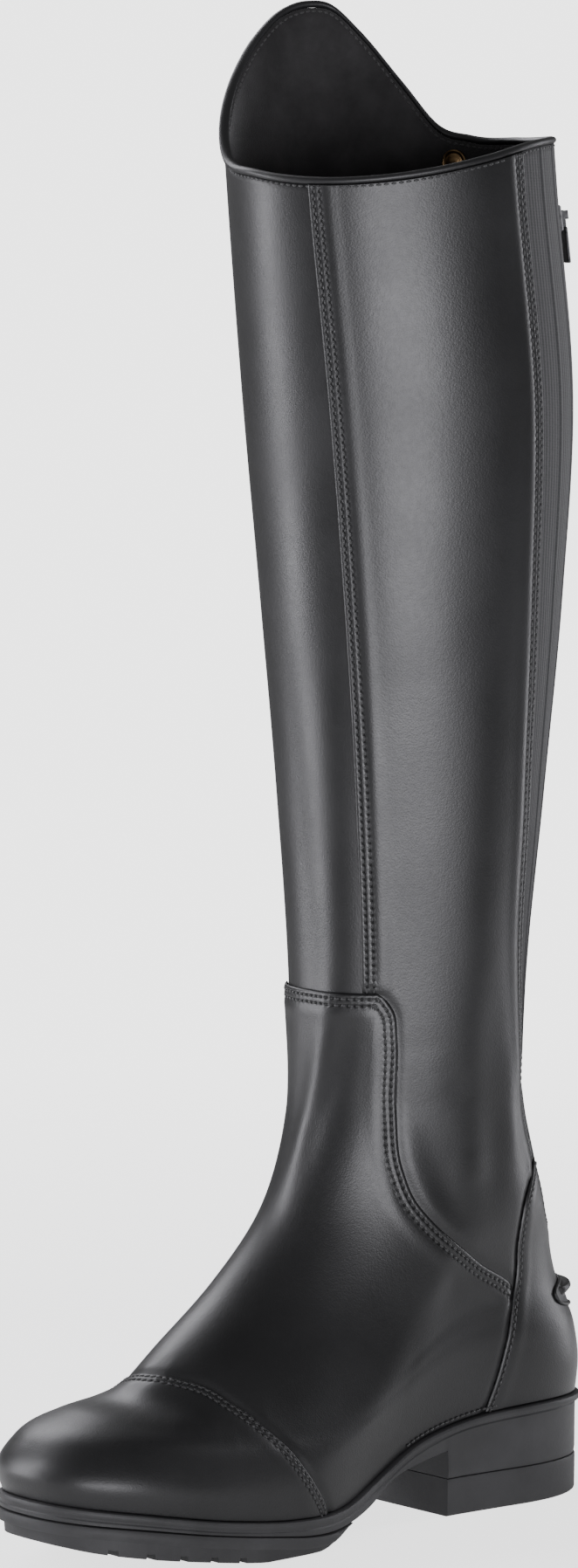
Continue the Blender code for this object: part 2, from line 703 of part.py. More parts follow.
stud_level = collar_level(*STUD_AT)
stud_frame = local_frame(STUD_AT[0], stud_level, -UPPER_WALL - STUD_SEAT)
rod("press_stud", STUD_RADIUS, STUD_THICK, (0, -STUD_THICK / 2, 0), stud_frame, "Y", STUD_SIDES)


def spur_corner(i, j):
    a = 2 * i / SPUR_COLUMNS - 1
    b = 2 * j / SPUR_ROWS - 1
    half = SPUR_HEIGHT / 2 * max(0.0, 1 - abs(a) ** SPUR_P) ** (1 / SPUR_P)
    v = back_level(SPUR_Z + b * half)
    return skin(strip_edge(v, -a * SPUR_HALF), v, SPUR_SEAT)


bm = grid(SPUR_COLUMNS, SPUR_ROWS, spur_corner)
weld(bm)
spur = finish("spur_rest", bm)
thicken(spur, SPUR_SKIN, 1)


def ledge_corner(k, n):
    a = 2 * k / (LEDGE_ROWS - 1) - 1
    share, rise = LEDGE_SECTION[n]
    out = SPUR_SEAT + LEDGE_SINK + share * LEDGE_OUT * math.sqrt(LEDGE_BLUNT - a * a)
    v = back_level(SPUR_Z + rise)
    return skin(strip_edge(v, -a * LEDGE_SHARE * SPUR_HALF), v, out)


ledge = tube("spur_ledge", LEDGE_ROWS, len(LEDGE_SECTION), ledge_corner, CUTTERS)
cut(spur, ledge, "UNION")
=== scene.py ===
"""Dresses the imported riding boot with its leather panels, stitching, zip, elastic, lining and sole.

Sizes in the shape tables are in millimetres and degrees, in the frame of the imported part: toe towards -Y,
inner side towards +X. Angles run round the boot from 0 at the front, over 90 on the inner side, to 180 at
the back, and levels are lengths up the front of the form.
"""
import math
from functools import lru_cache, wraps

import bmesh
import bpy
import numpy as np
from mathutils import Matrix, Quaternion, Vector
from mathutils.kdtree import KDTree

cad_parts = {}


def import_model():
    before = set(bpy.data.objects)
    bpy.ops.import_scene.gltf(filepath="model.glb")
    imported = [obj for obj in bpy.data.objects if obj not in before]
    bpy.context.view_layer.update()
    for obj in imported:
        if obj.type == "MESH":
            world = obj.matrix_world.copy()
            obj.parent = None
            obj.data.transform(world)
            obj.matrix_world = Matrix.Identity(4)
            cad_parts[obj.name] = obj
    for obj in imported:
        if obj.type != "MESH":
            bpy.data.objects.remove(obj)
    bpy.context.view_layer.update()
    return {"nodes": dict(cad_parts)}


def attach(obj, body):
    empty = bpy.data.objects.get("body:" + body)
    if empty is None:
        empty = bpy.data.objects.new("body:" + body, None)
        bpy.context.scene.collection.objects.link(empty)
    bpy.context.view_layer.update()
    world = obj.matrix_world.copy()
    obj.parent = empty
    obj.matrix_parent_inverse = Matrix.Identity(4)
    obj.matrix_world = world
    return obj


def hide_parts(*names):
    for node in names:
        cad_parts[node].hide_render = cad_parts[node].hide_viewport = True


bl_info = {
    "name": "Riding boot dressing",
    "version": (1, 0, 0),
    "blender": (4, 5, 0),
    "location": "View3D > Sidebar > Boot",
    "description": "Leather, stitching, zip, elastic and sole of a tall riding boot, over its packed solids",
    "category": "Object",
}

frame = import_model()
BODY = "boot"
MM = 0.001
SHIFT = Vector((0.0, 56.5, 0.0))

SECTION_COLUMNS = (
    "z_front", "z_back", "front", "back", "ball_in", "ball_out", "waist_in", "waist_out",
    "heel_in", "heel_out", "ball_at", "heel_at", "toe_p", "heel_p", "turn", "swing", "sag")
SECTIONS = (
    (27.3, 36.3, -179, 67, 43, 44, 29, 35, 27, 29, 0.37, 0.84, 2.5, 2.2, 0, 9, 1.00),
    (36, 48, -181, 68, 45, 46, 32, 37, 29, 31, 0.37, 0.83, 2.5, 2.2, 0, 9, 0.95),
    (45, 60, -174, 67, 44, 44, 34, 37, 30, 32, 0.38, 0.80, 2.4, 2.2, 0, 8, 0.85),
    (52, 70, -157, 64, 40, 41, 34, 36, 30, 32, 0.40, 0.76, 2.2, 2.2, 0, 6, 0.70),
    (59, 80, -133, 60, 36, 37, 33, 34, 30, 32, 0.43, 0.70, 2.1, 2.2, 0, 4, 0.50),
    (71, 93, -108, 56, 33, 34, 32, 33, 30, 31, 0.45, 0.64, 2.0, 2.2, 2, 2, 0.30),
    (88, 110, -81, 52, 32, 32.5, 32, 32, 31.5, 31.5, 0.46, 0.60, 2.0, 2.2, 5, 0, 0.15),
    (112, 128, -58, 47, 32.5, 32.5, 32.5, 32.5, 32.5, 32.5, 0.49, 0.53, 2.0, 2.1, 8, 0, 0.05),
    (145, 150, -45, 42, 34, 34, 34, 34, 34, 34, 0.50, 0.50, 2.1, 2.1, 10, 0, 0.00),
    (187, 187, -44, 42, 37, 37, 37, 37, 37, 37, 0.50, 0.50, 2.1, 2.1, 12, 0, 0.00),
    (260, 260, -47, 49, 44, 44, 44, 44, 44, 44, 0.50, 0.50, 2.1, 2.1, 15, 0, 0.00),
    (330, 330, -52, 56, 51, 51, 51, 51, 51, 51, 0.50, 0.50, 2.1, 2.1, 18, 0, 0.00),
    (400, 400, -58, 60, 55, 55, 55, 55, 55, 55, 0.50, 0.50, 2.1, 2.1, 20, 0, 0.00),
    (480, 480, -65, 52, 55, 55, 55, 55, 55, 55, 0.50, 0.50, 2.1, 2.1, 22, 0, 0.00),
    (550, 550, -70, 46, 55, 55, 55, 55, 55, 55, 0.50, 0.50, 2.1, 2.1, 23, 0, 0.00),
)
CALF_ROW = 12
FEATHER_LINE = (
    (0.0, 27.0), (0.085, 23.5), (0.25, 16.0), (0.36, 12.8), (0.46, 13.2),
    (0.56, 21.0), (0.64, 29.0), (0.72, 33.5), (0.85, 36.0), (1.0, 36.0))
COLLAR_LINE = (
    (-15, 496), (-6, 490), (18, 485), (53, 482), (72, 483), (87, 485), (107, 489), (131, 494), (161, 496),
    (198, 496), (221, 497), (234, 501), (246, 516), (261, 535), (272, 545), (280, 546), (291, 543),
    (305, 533), (318, 521), (334, 506), (345, 496), (354, 490), (378, 485))
REAR_EDGE = ((0, 128), (100, 140), (125, 149), (150, 148), (180, 143), (207, 136), (260, 130), (600, 128))
CAP_SEAM = (
    (0, -75), (14, -76), (25.5, -85), (35, -91.5), (44.3, -97.7), (54.7, -104.3), (62.2, -111.3),
    (64.5, -117), (70, -121), (90, -122))
VAMP_EDGE = (
    (18, 5), (36, 11), (59, 18.3), (75, 23), (79.5, 24.4), (92, 5.8), (106, -13), (116, -21.5), (128, -26),
    (150, -27.6), (176, -28), (186, -29.5), (192, -33))
COUNTER_FRONT = (
    (18, 5), (36, 11), (59, 18.3), (75, 23), (84, 25.7), (98.6, 26.3), (112, 29), (125.5, 38.7))
COUNTER_TOP = ((38.7, 125.5), (41.5, 117), (44, 109), (50, 101), (60, 98), (85, 98))
CAP_SKEW = 0.25
CAP_SKEW_FROM = 40.0
FRONT_SEAM = 43.0
VAMP_TOP = 192.0
JUNCTION_Z = 80.0
APEX_Z = 125.5
FACING_OUT = 16.0
FACING_IN = 4.6
HEEL_SWING = 4.0
FULL_SWING = 9
SWING_SPLIT = 0.6
RAMP_FROM = 0.35
RAMP_RUN = 0.45
BINDING_DROP = 3.0
HEM = 0.8
RAND_OUT = 3.2
WELT_OUT = 4.6
RAND_LOW = (
    (0.0, 22.0), (0.085, 18.8), (0.2, 13.6), (0.325, 8.8), (0.38, 7.0), (0.43, 6.6), (0.48, 8.2),
    (0.52, 11.0), (0.577, 18.0), (0.64, 21.8), (0.70, 24.0))
TREAD_LOW = (
    (0.0, 13.0), (0.03, 11.0), (0.1, 7.6), (0.2, 3.6), (0.29, 0.4), (0.35, -1.0), (0.415, 0.2),
    (0.45, 2.2), (0.48, 5.0))
TREAD_FADE = 0.42
TREAD_END = 0.475
LUG_GROOVES = (0.06, 0.11, 0.16, 0.21, 0.26)
GROOVE_HALF = 1.5
GROOVE_DEPTH = 1.8
GROOVE_WALL = 0.0006
HEEL_BREAST = 0.70
HEEL_SPLIT = 14.0
SLIDER_Z = 466.0
STUD_AT = (227.0, 487.0)
SPUR_Z = 72.5
SPUR_HALF = 35.0
SPUR_HEIGHT = 11.5
SPUR_P = 2.6
LEDGE_SHARE = 0.8
LEDGE_OUT = 4.0
LEDGE_RISE = 1.4
SHEET = 0.35

# Rows down the side of the rand from the feather line, and down the heel lift: (distance out, height)
RAND_BEAD = ((1.2, 0.4), (2.6, 0.35), (3.3, 0.0), (3.65, -0.7), (3.6, -1.5), (3.2, -2.2))
RAND_STEP = ((-0.2, -2.7), (-0.25, -3.1), (0.05, -3.6))
STEP_DROP = 3.6
LIFT_ROWS = (
    (0.9, HEEL_SPLIT - 0.3), (1.45, HEEL_SPLIT - 0.45), (1.7, HEEL_SPLIT - 0.9), (1.7, HEEL_SPLIT - 2.5),
    (1.6, 6.0), (1.5, 1.2), (1.3, 0.5), (0.7, 0.0))

# Sewing: distances of the rows from the edges, and how the thread and the leather lie there
STITCH_ROWS = (1.9, 4.3)
CAP_ROWS = (1.5, 3.5)
COUNTER_ROWS = (1.9,)
FACING_ROWS = (2.0,)
COLLAR_ROW = 0.75
LINING_ROW = 1.2
ARCH_STITCHES = (103.0, 126.0)
ARCH_LEVEL = HEM + 1.2
ARCH_OUT = 0.35
THREAD_SINK = 0.08
THREAD_FLAT = 0.8
CAP_EXTRA = 0.3
CAP_THREAD = 0.1
EDGE_HEIGHT = 0.5
ROW_SINK = 0.32
ROW_BEAD = 0.12
PUFF_BEHIND = 3.3
TUCK = 0.75
TUCK_REACH = 2.2
FACING_HEIGHT = 1.25

# Zip, collar binding and press stud
TOOTH_PITCH = 1.15
TOOTH_SIZE = (3.6, 1.3, 1.0)
TOOTH_OUT = 1.15
TOOTH_SWAY = 0.75
TOOTH_BEVEL = 0.22
TEETH_FROM_END = 3
GUSSET_RIBS = 22
TAPE_RIBS = 10
BINDING_MIDDLE = (-0.25, 1.35)
BINDING_HALF = (1.95, 1.35)
STUD_PROFILE = (
    (0.0, 1.75), (1.6, 1.65), (2.6, 1.3), (3.1, 0.95), (3.4, 0.95), (3.8, 1.35), (4.3, 1.5), (4.7, 1.25),
    (4.8, 0.8), (4.6, 0.3), (4.2, 0.0), (0.0, 0.0))
STUD_SINK = 1.0

# Finishes
TRIM_ROUGH = (0.4, 0.52)
VAMP_ROUGH = (0.36, 0.48)
CAP_ROUGH = (0.35, 0.47)
TREAD_ROUGH = (0.55, 0.7)
# Painted shade: the near-black colour put in the needle holes along the sewn rows
HOLE_SHADE = (0.001, 0.001, 0.001)
PLASTIC = ((0.014, 0.014, 0.015), (0.024, 0.024, 0.025))
ZIP_METAL = ((0.09, 0.09, 0.092), (0.03, 0.03, 0.031))
DARK_BRONZE = (0.11, 0.07, 0.035)
FLOOR_TINTS = ((0.84, 0.84, 0.84), (0.87, 0.87, 0.87))

# Stage in metres: the camera's place and axes, and lights by their angle from the camera, distance,
# height, size and power. The glows of floor and world are those for other rays and for the camera's.
EYE = (1.7510, -1.4227, 0.4814)
EYE_BACK = Vector((0.7613, -0.6388, 0.1115))
EYE_RIGHT = Vector((0.6428, 0.7660, 0.0))
EYE_UP = Vector((-0.0854, 0.0717, 0.9938))
EYE_OFF = (0.01517, 0.01695)
EYE_ROLL = -0.355
SENSOR = 36.0
FOCAL_SHARE = 7300 / 1796
LIGHTS = (
    ("front_box", 8, 3.0, -0.05, (2.7, 1.4), 135.0),
    ("left_box", -99, 1.45, 0.35, (0.36, 1.8), 25.0),
    ("right_box", 122, 1.45, 0.45, (0.25, 1.3), 9.0),
    ("rear_box", -152, 1.9, 1.5, (1.2, 0.9), 20.0),
)
LIGHT_TINT = (0.955, 0.95, 1.0)
LIGHT_AIM = Vector((0, 0, 0.3))
FLOOR_RADIUS = 1.3
FLOOR_FADE = (0.45, 1.2)
FLOOR_GLOW = (0.4, 2.0)
WORLD_GLOW = (0.18, 3.2)

# Soft folds of the leather: width, rise and the (angle, height) points that each runs through. The last
# one is the flat top of the toe.
FOLDS = (
    (5.5, 0.9, ((27, 186), (17.5, 162), (8, 141), (7, 121))),
    (5.0, -0.8, ((37, 184), (26, 163), (15, 146), (13, 128))),
    (6.0, -0.6, ((10, 186), (0, 153), (-6, 128))),
    (7.0, 0.4, ((52, 182), (54, 160), (50, 140))),
    (5.5, 0.8, ((64, 146), (72, 129), (84, 114), (104, 99))),
    (5.5, -0.4, ((80, 129), (90, 117), (102, 107))),
    (6.0, -0.4, ((89, 161), (96, 150))),
    (10.0, 0.3, ((74, 172), (76, 152))),
    (12.0, -1.1, ((64, 300), (63, 230), (62, 180), (66, 150), (74, 128))),
    (11.0, 1.4, ((98, 300), (99, 230), (100, 180), (102, 140), (106, 108))),
    (8.0, 0.8, ((33, 310), (33, 240), (32, 205), (28, 180))),
    (7.0, -0.7, ((10, 310), (10, 240), (12, 205), (12, 180))),
    (8.0, 0.5, ((98, 134), (100, 120))),
    (8.5, -1.0, ((109, 190), (107.5, 153), (114, 106))),
    (7.0, 1.0, ((131, 172), (129, 150), (125.5, 124))),
    (5.0, -1.2, ((160, 158), (146, 154))),
    (8.0, -1.0, ((262, 160), (274, 151))),
    (8.5, -0.9, ((250, 186), (252, 150), (246, 110))),
    (5.5, 0.7, ((296, 144), (286, 124), (262, 102))),
    (5.5, -0.4, ((280, 128), (270, 116), (258, 108))),
    (7.0, 0.8, ((230, 170), (234, 128))),
    (15.0, -3.4, ((-56, 54), (-28, 57), (0, 58), (28, 56), (56, 51))),
)


class BootSizes(bpy.types.PropertyGroup):
    """Sizes that shape the leather and its sewing"""
    shaft_skin: bpy.props.FloatProperty(
        name="Shaft panel height", description="How far the leg panels stand off the leather below",
        default=0.0014, min=0.0008, max=0.003, unit="LENGTH")
    foot_skin: bpy.props.FloatProperty(
        name="Foot panel height", description="How far the vamp and the toe cap stand off the leather below",
        default=0.0015, min=0.0008, max=0.003, unit="LENGTH")
    counter_skin: bpy.props.FloatProperty(
        name="Counter height", description="How far the heel counter stands off the leather below",
        default=0.0018, min=0.0008, max=0.003, unit="LENGTH")
    stitch_pitch: bpy.props.FloatProperty(
        name="Stitch pitch", description="Distance from one stitch to the next",
        default=0.0026, min=0.0015, max=0.006, unit="LENGTH")
    stitch_length: bpy.props.FloatProperty(
        name="Stitch length", description="Length of thread that shows in each stitch",
        default=0.0021, min=0.001, max=0.005, unit="LENGTH")
    thread: bpy.props.FloatProperty(
        name="Thread", description="Width of the sewing thread",
        default=0.00095, min=0.0003, max=0.002, unit="LENGTH")
    wall: bpy.props.FloatProperty(
        name="Wall", description="Thickness of the upper with its lining",
        default=0.0018, min=0.001, max=0.003, unit="LENGTH")
    fold_strength: bpy.props.FloatProperty(
        name="Fold strength", description="Scale of the soft folds",
        default=1.0, min=0.0, max=2.0, subtype="FACTOR")


class BootColours(bpy.types.PropertyGroup):
    """Colours of the boot's materials"""
    leather: bpy.props.FloatVectorProperty(
        name="Leather", description="Colour of the smooth leather", size=3, subtype="COLOR",
        default=(0.0075, 0.0075, 0.008), min=0, max=1)
    lining: bpy.props.FloatVectorProperty(
        name="Lining", description="Colour of the napped lining", size=3, subtype="COLOR",
        default=(0.016, 0.0154, 0.0157), min=0, max=1)
    rubber: bpy.props.FloatVectorProperty(
        name="Rubber", description="Colour of the sole", size=3, subtype="COLOR",
        default=(0.03, 0.03, 0.0312), min=0, max=1)
    elastic: bpy.props.FloatVectorProperty(
        name="Elastic", description="Colour of the ribbed elastic", size=3, subtype="COLOR",
        default=(0.018, 0.018, 0.019), min=0, max=1)
    thread: bpy.props.FloatVectorProperty(
        name="Thread", description="Colour of the sewing thread", size=3, subtype="COLOR",
        default=(0.016, 0.016, 0.0165), min=0, max=1)
    stud: bpy.props.FloatVectorProperty(
        name="Press stud", description="Colour of the stud's bronze", size=3, subtype="COLOR",
        default=(0.26, 0.17, 0.085), min=0, max=1)


def curve(x, points):
    """Smooth value at x through (x, y) points, with each tangent taken from its neighbours."""
    px = np.array([point[0] for point in points], float)
    py = np.array([point[1] for point in points], float)
    gaps = np.diff(px)
    slopes = np.diff(py) / gaps
    inner = (slopes[:-1] * gaps[1:] + slopes[1:] * gaps[:-1]) / (gaps[:-1] + gaps[1:])
    tangents = np.concatenate([slopes[:1], inner, slopes[-1:]])
    i = np.clip(np.searchsorted(px, x) - 1, 0, len(px) - 2)
    h = gaps[i]
    s = (x - px[i]) / h
    return ((1 + 2 * s) * (1 - s) ** 2 * py[i] + s * (1 - s) ** 2 * h * tangents[i]
            + s * s * (3 - 2 * s) * py[i + 1] + s * s * (s - 1) * h * tangents[i + 1])


def ease(s):
    """Smooth step from 0 to 1."""
    s = np.clip(s, 0.0, 1.0)
    return s * s * (3 - 2 * s)


LEVELS = [0.0]
for low_row, high_row in zip(SECTIONS, SECTIONS[1:]):
    LEVELS.append(LEVELS[-1] + math.hypot(high_row[0] - low_row[0], high_row[2] - low_row[2]))
CALF = LEVELS[CALF_ROW]
TOP = LEVELS[CALF_ROW + 1]
CALF_Z = SECTIONS[CALF_ROW][0]
COUNTER_SPAN = (LEVELS[3], LEVELS[9])


def section(v):
    """All columns of the form at levels v."""
    columns = zip(SECTION_COLUMNS, zip(*SECTIONS))
    return {name: curve(v, list(zip(LEVELS, values))) for name, values in columns}


def half_width(f, row, side):
    """Half width of a ring at fraction f from its front to its back."""
    ball, waist, heel = row["ball_" + side], row["waist_" + side], row["heel_" + side]
    ball_at = row["ball_at"]
    heel_at = np.maximum(row["heel_at"], ball_at)
    toe_p, heel_p = row["toe_p"], row["heel_p"]
    toe = ball * np.maximum(0, 1 - np.clip((ball_at - f) / ball_at, 0, 1) ** toe_p) ** (1 / toe_p)
    rear = heel * np.maximum(0, 1 - np.clip((f - heel_at) / (1 - heel_at), 0, 1) ** heel_p) ** (1 / heel_p)
    middle = (ball_at + heel_at) / 2
    reach = np.maximum(middle - ball_at, 1e-6)
    slope = (heel - ball) / 2
    a = np.clip((f - ball_at) / reach, 0, 1)
    b = np.clip((f - middle) / reach, 0, 1)
    fore = ball + (waist - ball) * ease(a) + slope * a * a * (a - 1)
    aft = waist + (heel - waist) * ease(b) + slope * b * (1 - b) ** 2
    between = np.where(f < middle, fore, aft)
    return np.where(f < ball_at, toe, np.where(f > heel_at, rear, between))


def fraction(t):
    """Share of the foot's length from toe to heel at angles t."""
    return (1 - np.cos(np.radians(t))) / 2


def angle_of(f):
    return np.degrees(np.arccos(1 - 2 * np.asarray(f, float)))


def sag(f):
    """How far the feather line lies below a plain ramp from toe to heel."""
    front, back = FEATHER_LINE[0][1], FEATHER_LINE[-1][1]
    return curve(f, FEATHER_LINE) - front - (back - front) * ease((f - RAMP_FROM) / RAMP_RUN)


def form(t, v, drop=BINDING_DROP):
    """Points of the leather's outer face at angles t and levels v."""
    t, v = np.broadcast_arrays(np.asarray(t, float), np.asarray(v, float))
    rim = curve(t % 360, COLLAR_LINE) - drop
    height = CALF_Z + (v - CALF) / (TOP - CALF) * (rim - CALF_Z)
    shaft = list(zip([row[0] for row in SECTIONS[CALF_ROW:]], LEVELS[CALF_ROW:]))
    v = np.where(v > CALF, curve(height, shaft), v)
    row = section(v)
    f = fraction(t)
    x = np.where(np.sin(np.radians(t)) >= 0, half_width(f, row, "in"), -half_width(f, row, "out"))
    x = x + row["swing"] * np.maximum(0, 1 - f / SWING_SPLIT) ** 2
    heel_share = np.maximum(0, (f - SWING_SPLIT) / (1 - SWING_SPLIT))
    x = x + HEEL_SWING * row["swing"] / FULL_SWING * heel_share ** 2
    y = row["front"] + (row["back"] - row["front"]) * f
    ramp = ease((f - RAMP_FROM) / RAMP_RUN)
    z = row["z_front"] + (row["z_back"] - row["z_front"]) * ramp + row["sag"] * sag(f)
    middle = (row["front"] + row["back"]) / 2
    c, s = np.cos(np.radians(row["turn"])), np.sin(np.radians(row["turn"]))
    return np.stack([c * x + s * (y - middle), middle - s * x + c * (y - middle), z], -1)


def directions(t, v):
    """Change of the form for one degree and for one millimetre of level."""
    around = (form(t + 0.4, v) - form(t - 0.4, v)) / 0.8
    low, high = np.maximum(v - 0.6, 0.0), np.minimum(v + 0.6, TOP)
    up = (form(t, high) - form(t, low)) / (high - low)[..., None]
    return around, up


def unit(vectors):
    return vectors / np.maximum(np.linalg.norm(vectors, axis=-1, keepdims=True), 1e-9)


def normal(t, v):
    around, up = directions(t, v)
    return unit(np.cross(around, up))


@lru_cache(maxsize=None)
def fold_line(points):
    """A fold's line on the form."""
    at = np.array(points, float)
    fine = np.linspace(0, len(at) - 1, 6 * (len(at) - 1) + 1)
    steps = np.arange(len(at))
    return on_form(np.interp(fine, steps, at[:, 0]), np.interp(fine, steps, at[:, 1]))


def folds(points):
    """Rise or fall of the leather at points of the form, from the soft folds."""
    total = np.zeros(points.shape[:-1])
    for width, height, marks in FOLDS:
        line = fold_line(marks)
        near = np.full(total.shape, np.inf)
        share = np.zeros(total.shape)
        for k, (start, end) in enumerate(zip(line, line[1:])):
            run = end - start
            at = np.clip((points - start) @ run / (run @ run), 0, 1)
            gap = ((points - start - at[..., None] * run) ** 2).sum(-1)
            share = np.where(gap < near, (k + at) / (len(line) - 1), share)
            near = np.minimum(near, gap)
        taper = 1 - 0.7 * np.abs(share * 2 - 1) ** 3
        total += height * taper * np.exp(-near / width ** 2)
    return total * bpy.context.scene.boot_sizes.fold_strength


def bisect(low, high, below, shape=(1,), steps=30):
    """Array of values between low and high where the test below(values) turns from true to false."""
    low, high = np.full(shape, low, float), np.full(shape, high, float)
    for _ in range(steps):
        middle = (low + high) / 2
        lower = below(middle)
        low = np.where(lower, middle, low)
        high = np.where(lower, high, middle)
    return low


def level_at(t, z):
    """Level whose point at angle t lies at height z."""
    t, z = np.broadcast_arrays(np.asarray(t, float), np.asarray(z, float))

    def lower(v):
        return form(t, np.minimum(v, TOP))[..., 2] < z
    return bisect(0.0, LEVELS[-1], lower, t.shape)


def on_form(t, z):
    return form(t, np.minimum(level_at(t, z), TOP))


def skin(t, v, out):
    """Points at distance out from the folded leather."""
    base = form(t, v)
    return base + normal(t, v) * (np.asarray(out) + folds(base))[..., None]


def pace(t, v):
    """Millimetres round the ring for each degree."""
    return np.linalg.norm(form(t + 1, v) - form(t - 1, v), axis=-1) / 2


def strip_edge(v, offset):
    """Angle at a distance from the middle of the back, towards the inner side when positive."""
    return 180 - offset / pace(np.full(np.shape(v), 180.0), v)


def rear_edge(v):
    """Angle of the inner leg panel's rear edge."""
    return np.minimum(curve(section(np.minimum(v, TOP))["z_back"], REAR_EDGE), strip_edge(v, FACING_OUT) - 4)


def seam_angle(v, side, seam, low, high):
    """Angle at levels v of a seam drawn as y against z, on the inner side (1) or the outer (-1)."""
    def before(t):
        points = form(side * t, v)
        return points[..., 1] < curve(points[..., 2], seam)
    return bisect(low, high, before, np.shape(v))


def vamp_angle(v, side):
    """Angle of the vamp's rear edge at levels v."""
    return seam_angle(v, side, VAMP_EDGE, 10.0, 170.0)


def counter_angle(v, side):
    """Angle of the counter's front edge at levels v."""
    return seam_angle(v, side, COUNTER_FRONT, 40.0, 176.0)


def counter_level(t, side):
    """Level of the counter's top edge at angles t."""
    def lower(v):
        points = form(side * t, v)
        return points[..., 2] < curve(points[..., 1], COUNTER_TOP)
    return bisect(*COUNTER_SPAN, lower, np.shape(t))


def cap_gap(t, v):
    """How far points lie behind the toe cap's seam."""
    points = form(t, v)
    return points[..., 1] - CAP_SKEW * (points[..., 0] - CAP_SKEW_FROM) - curve(points[..., 2], CAP_SEAM)


@lru_cache(maxsize=None)
def cap_corner(side):
    """Angle where the cap's seam meets the sole."""
    return float(bisect(2.0, 150.0, lambda t: cap_gap(side * t, HEM) < 0)[0])


def cap_level(t):
    """Level of the cap's seam at angles t."""
    return bisect(HEM, LEVELS[6], lambda v: cap_gap(t, v) < 0, np.shape(t))


def edge(t, v):
    """An edge of a panel as an array of (angle, level)."""
    return np.stack(np.broadcast_arrays(np.asarray(t, float), np.asarray(v, float)), -1)


@lru_cache(maxsize=None)
def vamp_levels(side):
    """Levels where the vamp's edge meets the front seam and the counter."""
    def below_seam(v):
        return vamp_angle(v, side) > FRONT_SEAM
    top = float(level_at(0.0, VAMP_TOP))
    seam = float(bisect(LEVELS[7], top, below_seam)[0])

    def below_junction(v):
        return form(side * vamp_angle(v, side), v)[..., 2] < JUNCTION_Z
    junction = float(bisect(0.0, seam, below_junction)[0])
    return top, seam, junction


@lru_cache(maxsize=None)
def apex_level(side):
    """Level of the top of the counter's ear."""
    def lower(v):
        return form(side * counter_angle(v, side), v)[..., 2] < APEX_Z
    return float(bisect(*COUNTER_SPAN, lower)[0])


def vamp_side(side, low, high, count=140):
    v = np.linspace(low, high, count)
    return edge(side * vamp_angle(v, side), v)


def counter_side(side, low, high, count=120):
    v = np.linspace(low, high, count)
    return edge(side * counter_angle(v, side), v)


def inner_rear(count=220):
    """Rear edge of the inner leg panel, from the counter's ear to the collar."""
    low = apex_level(1)
    v = np.linspace(low, TOP, count)
    ear = float(counter_angle(np.array([low]), 1)[0])
    t = rear_edge(v)
    t = t + (ear - t[0]) * (1 - ease((v - low) / 30))
    return edge(t, v)


def outer_rear(count=220):
    """Rear edge of the outer leg panel, from the counter to the collar."""
    low = counter_level(np.array([180.0]), 1)
    low = counter_level(strip_edge(low, FACING_OUT) - 0.3, -1)[0]
    v = np.linspace(low, TOP, count)
    return edge(360 - strip_edge(v, FACING_OUT) + 0.3, v)


def whole(t):
    """Angles below zero as angles up to 360."""
    turned = np.array(t, float)
    turned[..., 0] = np.where(turned[..., 0] < 0, turned[..., 0] + 360, turned[..., 0])
    return turned


def on_line(line):
    """Points of the form along an edge."""
    return form(line[:, 0], line[:, 1])


def measured(line):
    """An edge with its running length."""
    steps = np.linalg.norm(np.diff(on_line(line), axis=0), axis=1)
    return line, np.concatenate([[0.0], np.cumsum(steps)])


def along(line, share):
    """Places on an edge at shares of its length."""
    points, run = measured(line)
    at = np.asarray(share) * run[-1]
    return np.stack([np.interp(at, run, points[:, 0]), np.interp(at, run, points[:, 1])], -1)


def length_of(line):
    return float(measured(line)[1][-1])


def knots(length, step, fine=(0.3, 0.6, 0.95, 1.35, 1.75, 2.1, 2.5, 3.0, 3.5, 4.0, 4.5, 5.1, 6.0, 7.2)):
    """Shares of a length, close together near both ends."""
    if length < 2.6 * fine[-1]:
        return np.linspace(0, 1, max(4, int(length / step) + 1))
    inner = np.linspace(fine[-1], length - fine[-1], max(3, int((length - 2 * fine[-1]) / step)))
    ends = np.array(fine[:-1])
    return np.concatenate([[0.0], ends, inner, length - ends[::-1], [length]]) / length


def patch(bottom, top, left, right, s, u):
    """Angles and levels over a four-sided panel, blended from its edges."""
    across, up = np.meshgrid(s, u)
    across, up = across[..., None], up[..., None]
    b, t = along(bottom, s)[None], along(top, s)[None]
    lf, r = along(left, u)[:, None], along(right, u)[:, None]
    corners = ((1 - across) * (1 - up) * b[:, :1] + across * (1 - up) * b[:, -1:]
               + (1 - across) * up * t[:, :1] + across * up * t[:, -1:])
    return (1 - up) * b + up * t + (1 - across) * lf + across * r - corners


def edge_distance(points, lines):
    """Distance in millimetres from each point to the nearest of some edges, and the stitch number there."""
    if not lines:
        return np.full(points.shape[:-1], 99.0), np.zeros(points.shape[:-1])
    samples, numbers = [], []
    for line in lines:
        shares = np.linspace(0, 1, max(2, int(length_of(line) / 0.3)))
        near = along(line, shares)
        samples.append(on_line(near))
        numbers.append(shares * stitch_count(line))
    samples, numbers = np.concatenate(samples), np.concatenate(numbers)
    tree = KDTree(len(samples))
    for k, sample in enumerate(samples):
        tree.insert(sample, k)
    tree.balance()
    found = [tree.find(point) for point in points.reshape(-1, 3)]
    gaps = np.array([hit[2] for hit in found]).reshape(points.shape[:-1])
    stitches = np.array([numbers[hit[1]] for hit in found]).reshape(points.shape[:-1])
    return gaps, stitches


def stitch_count(line):
    return max(1, round(length_of(line) * MM / bpy.context.scene.boot_sizes.stitch_pitch))


def rolled(gap):
    """Share of the full height at a distance from a round edge, which is reached at 1."""
    return np.sqrt(np.maximum(0, 1 - (1 - np.clip(gap, 0, 1)) ** 2))


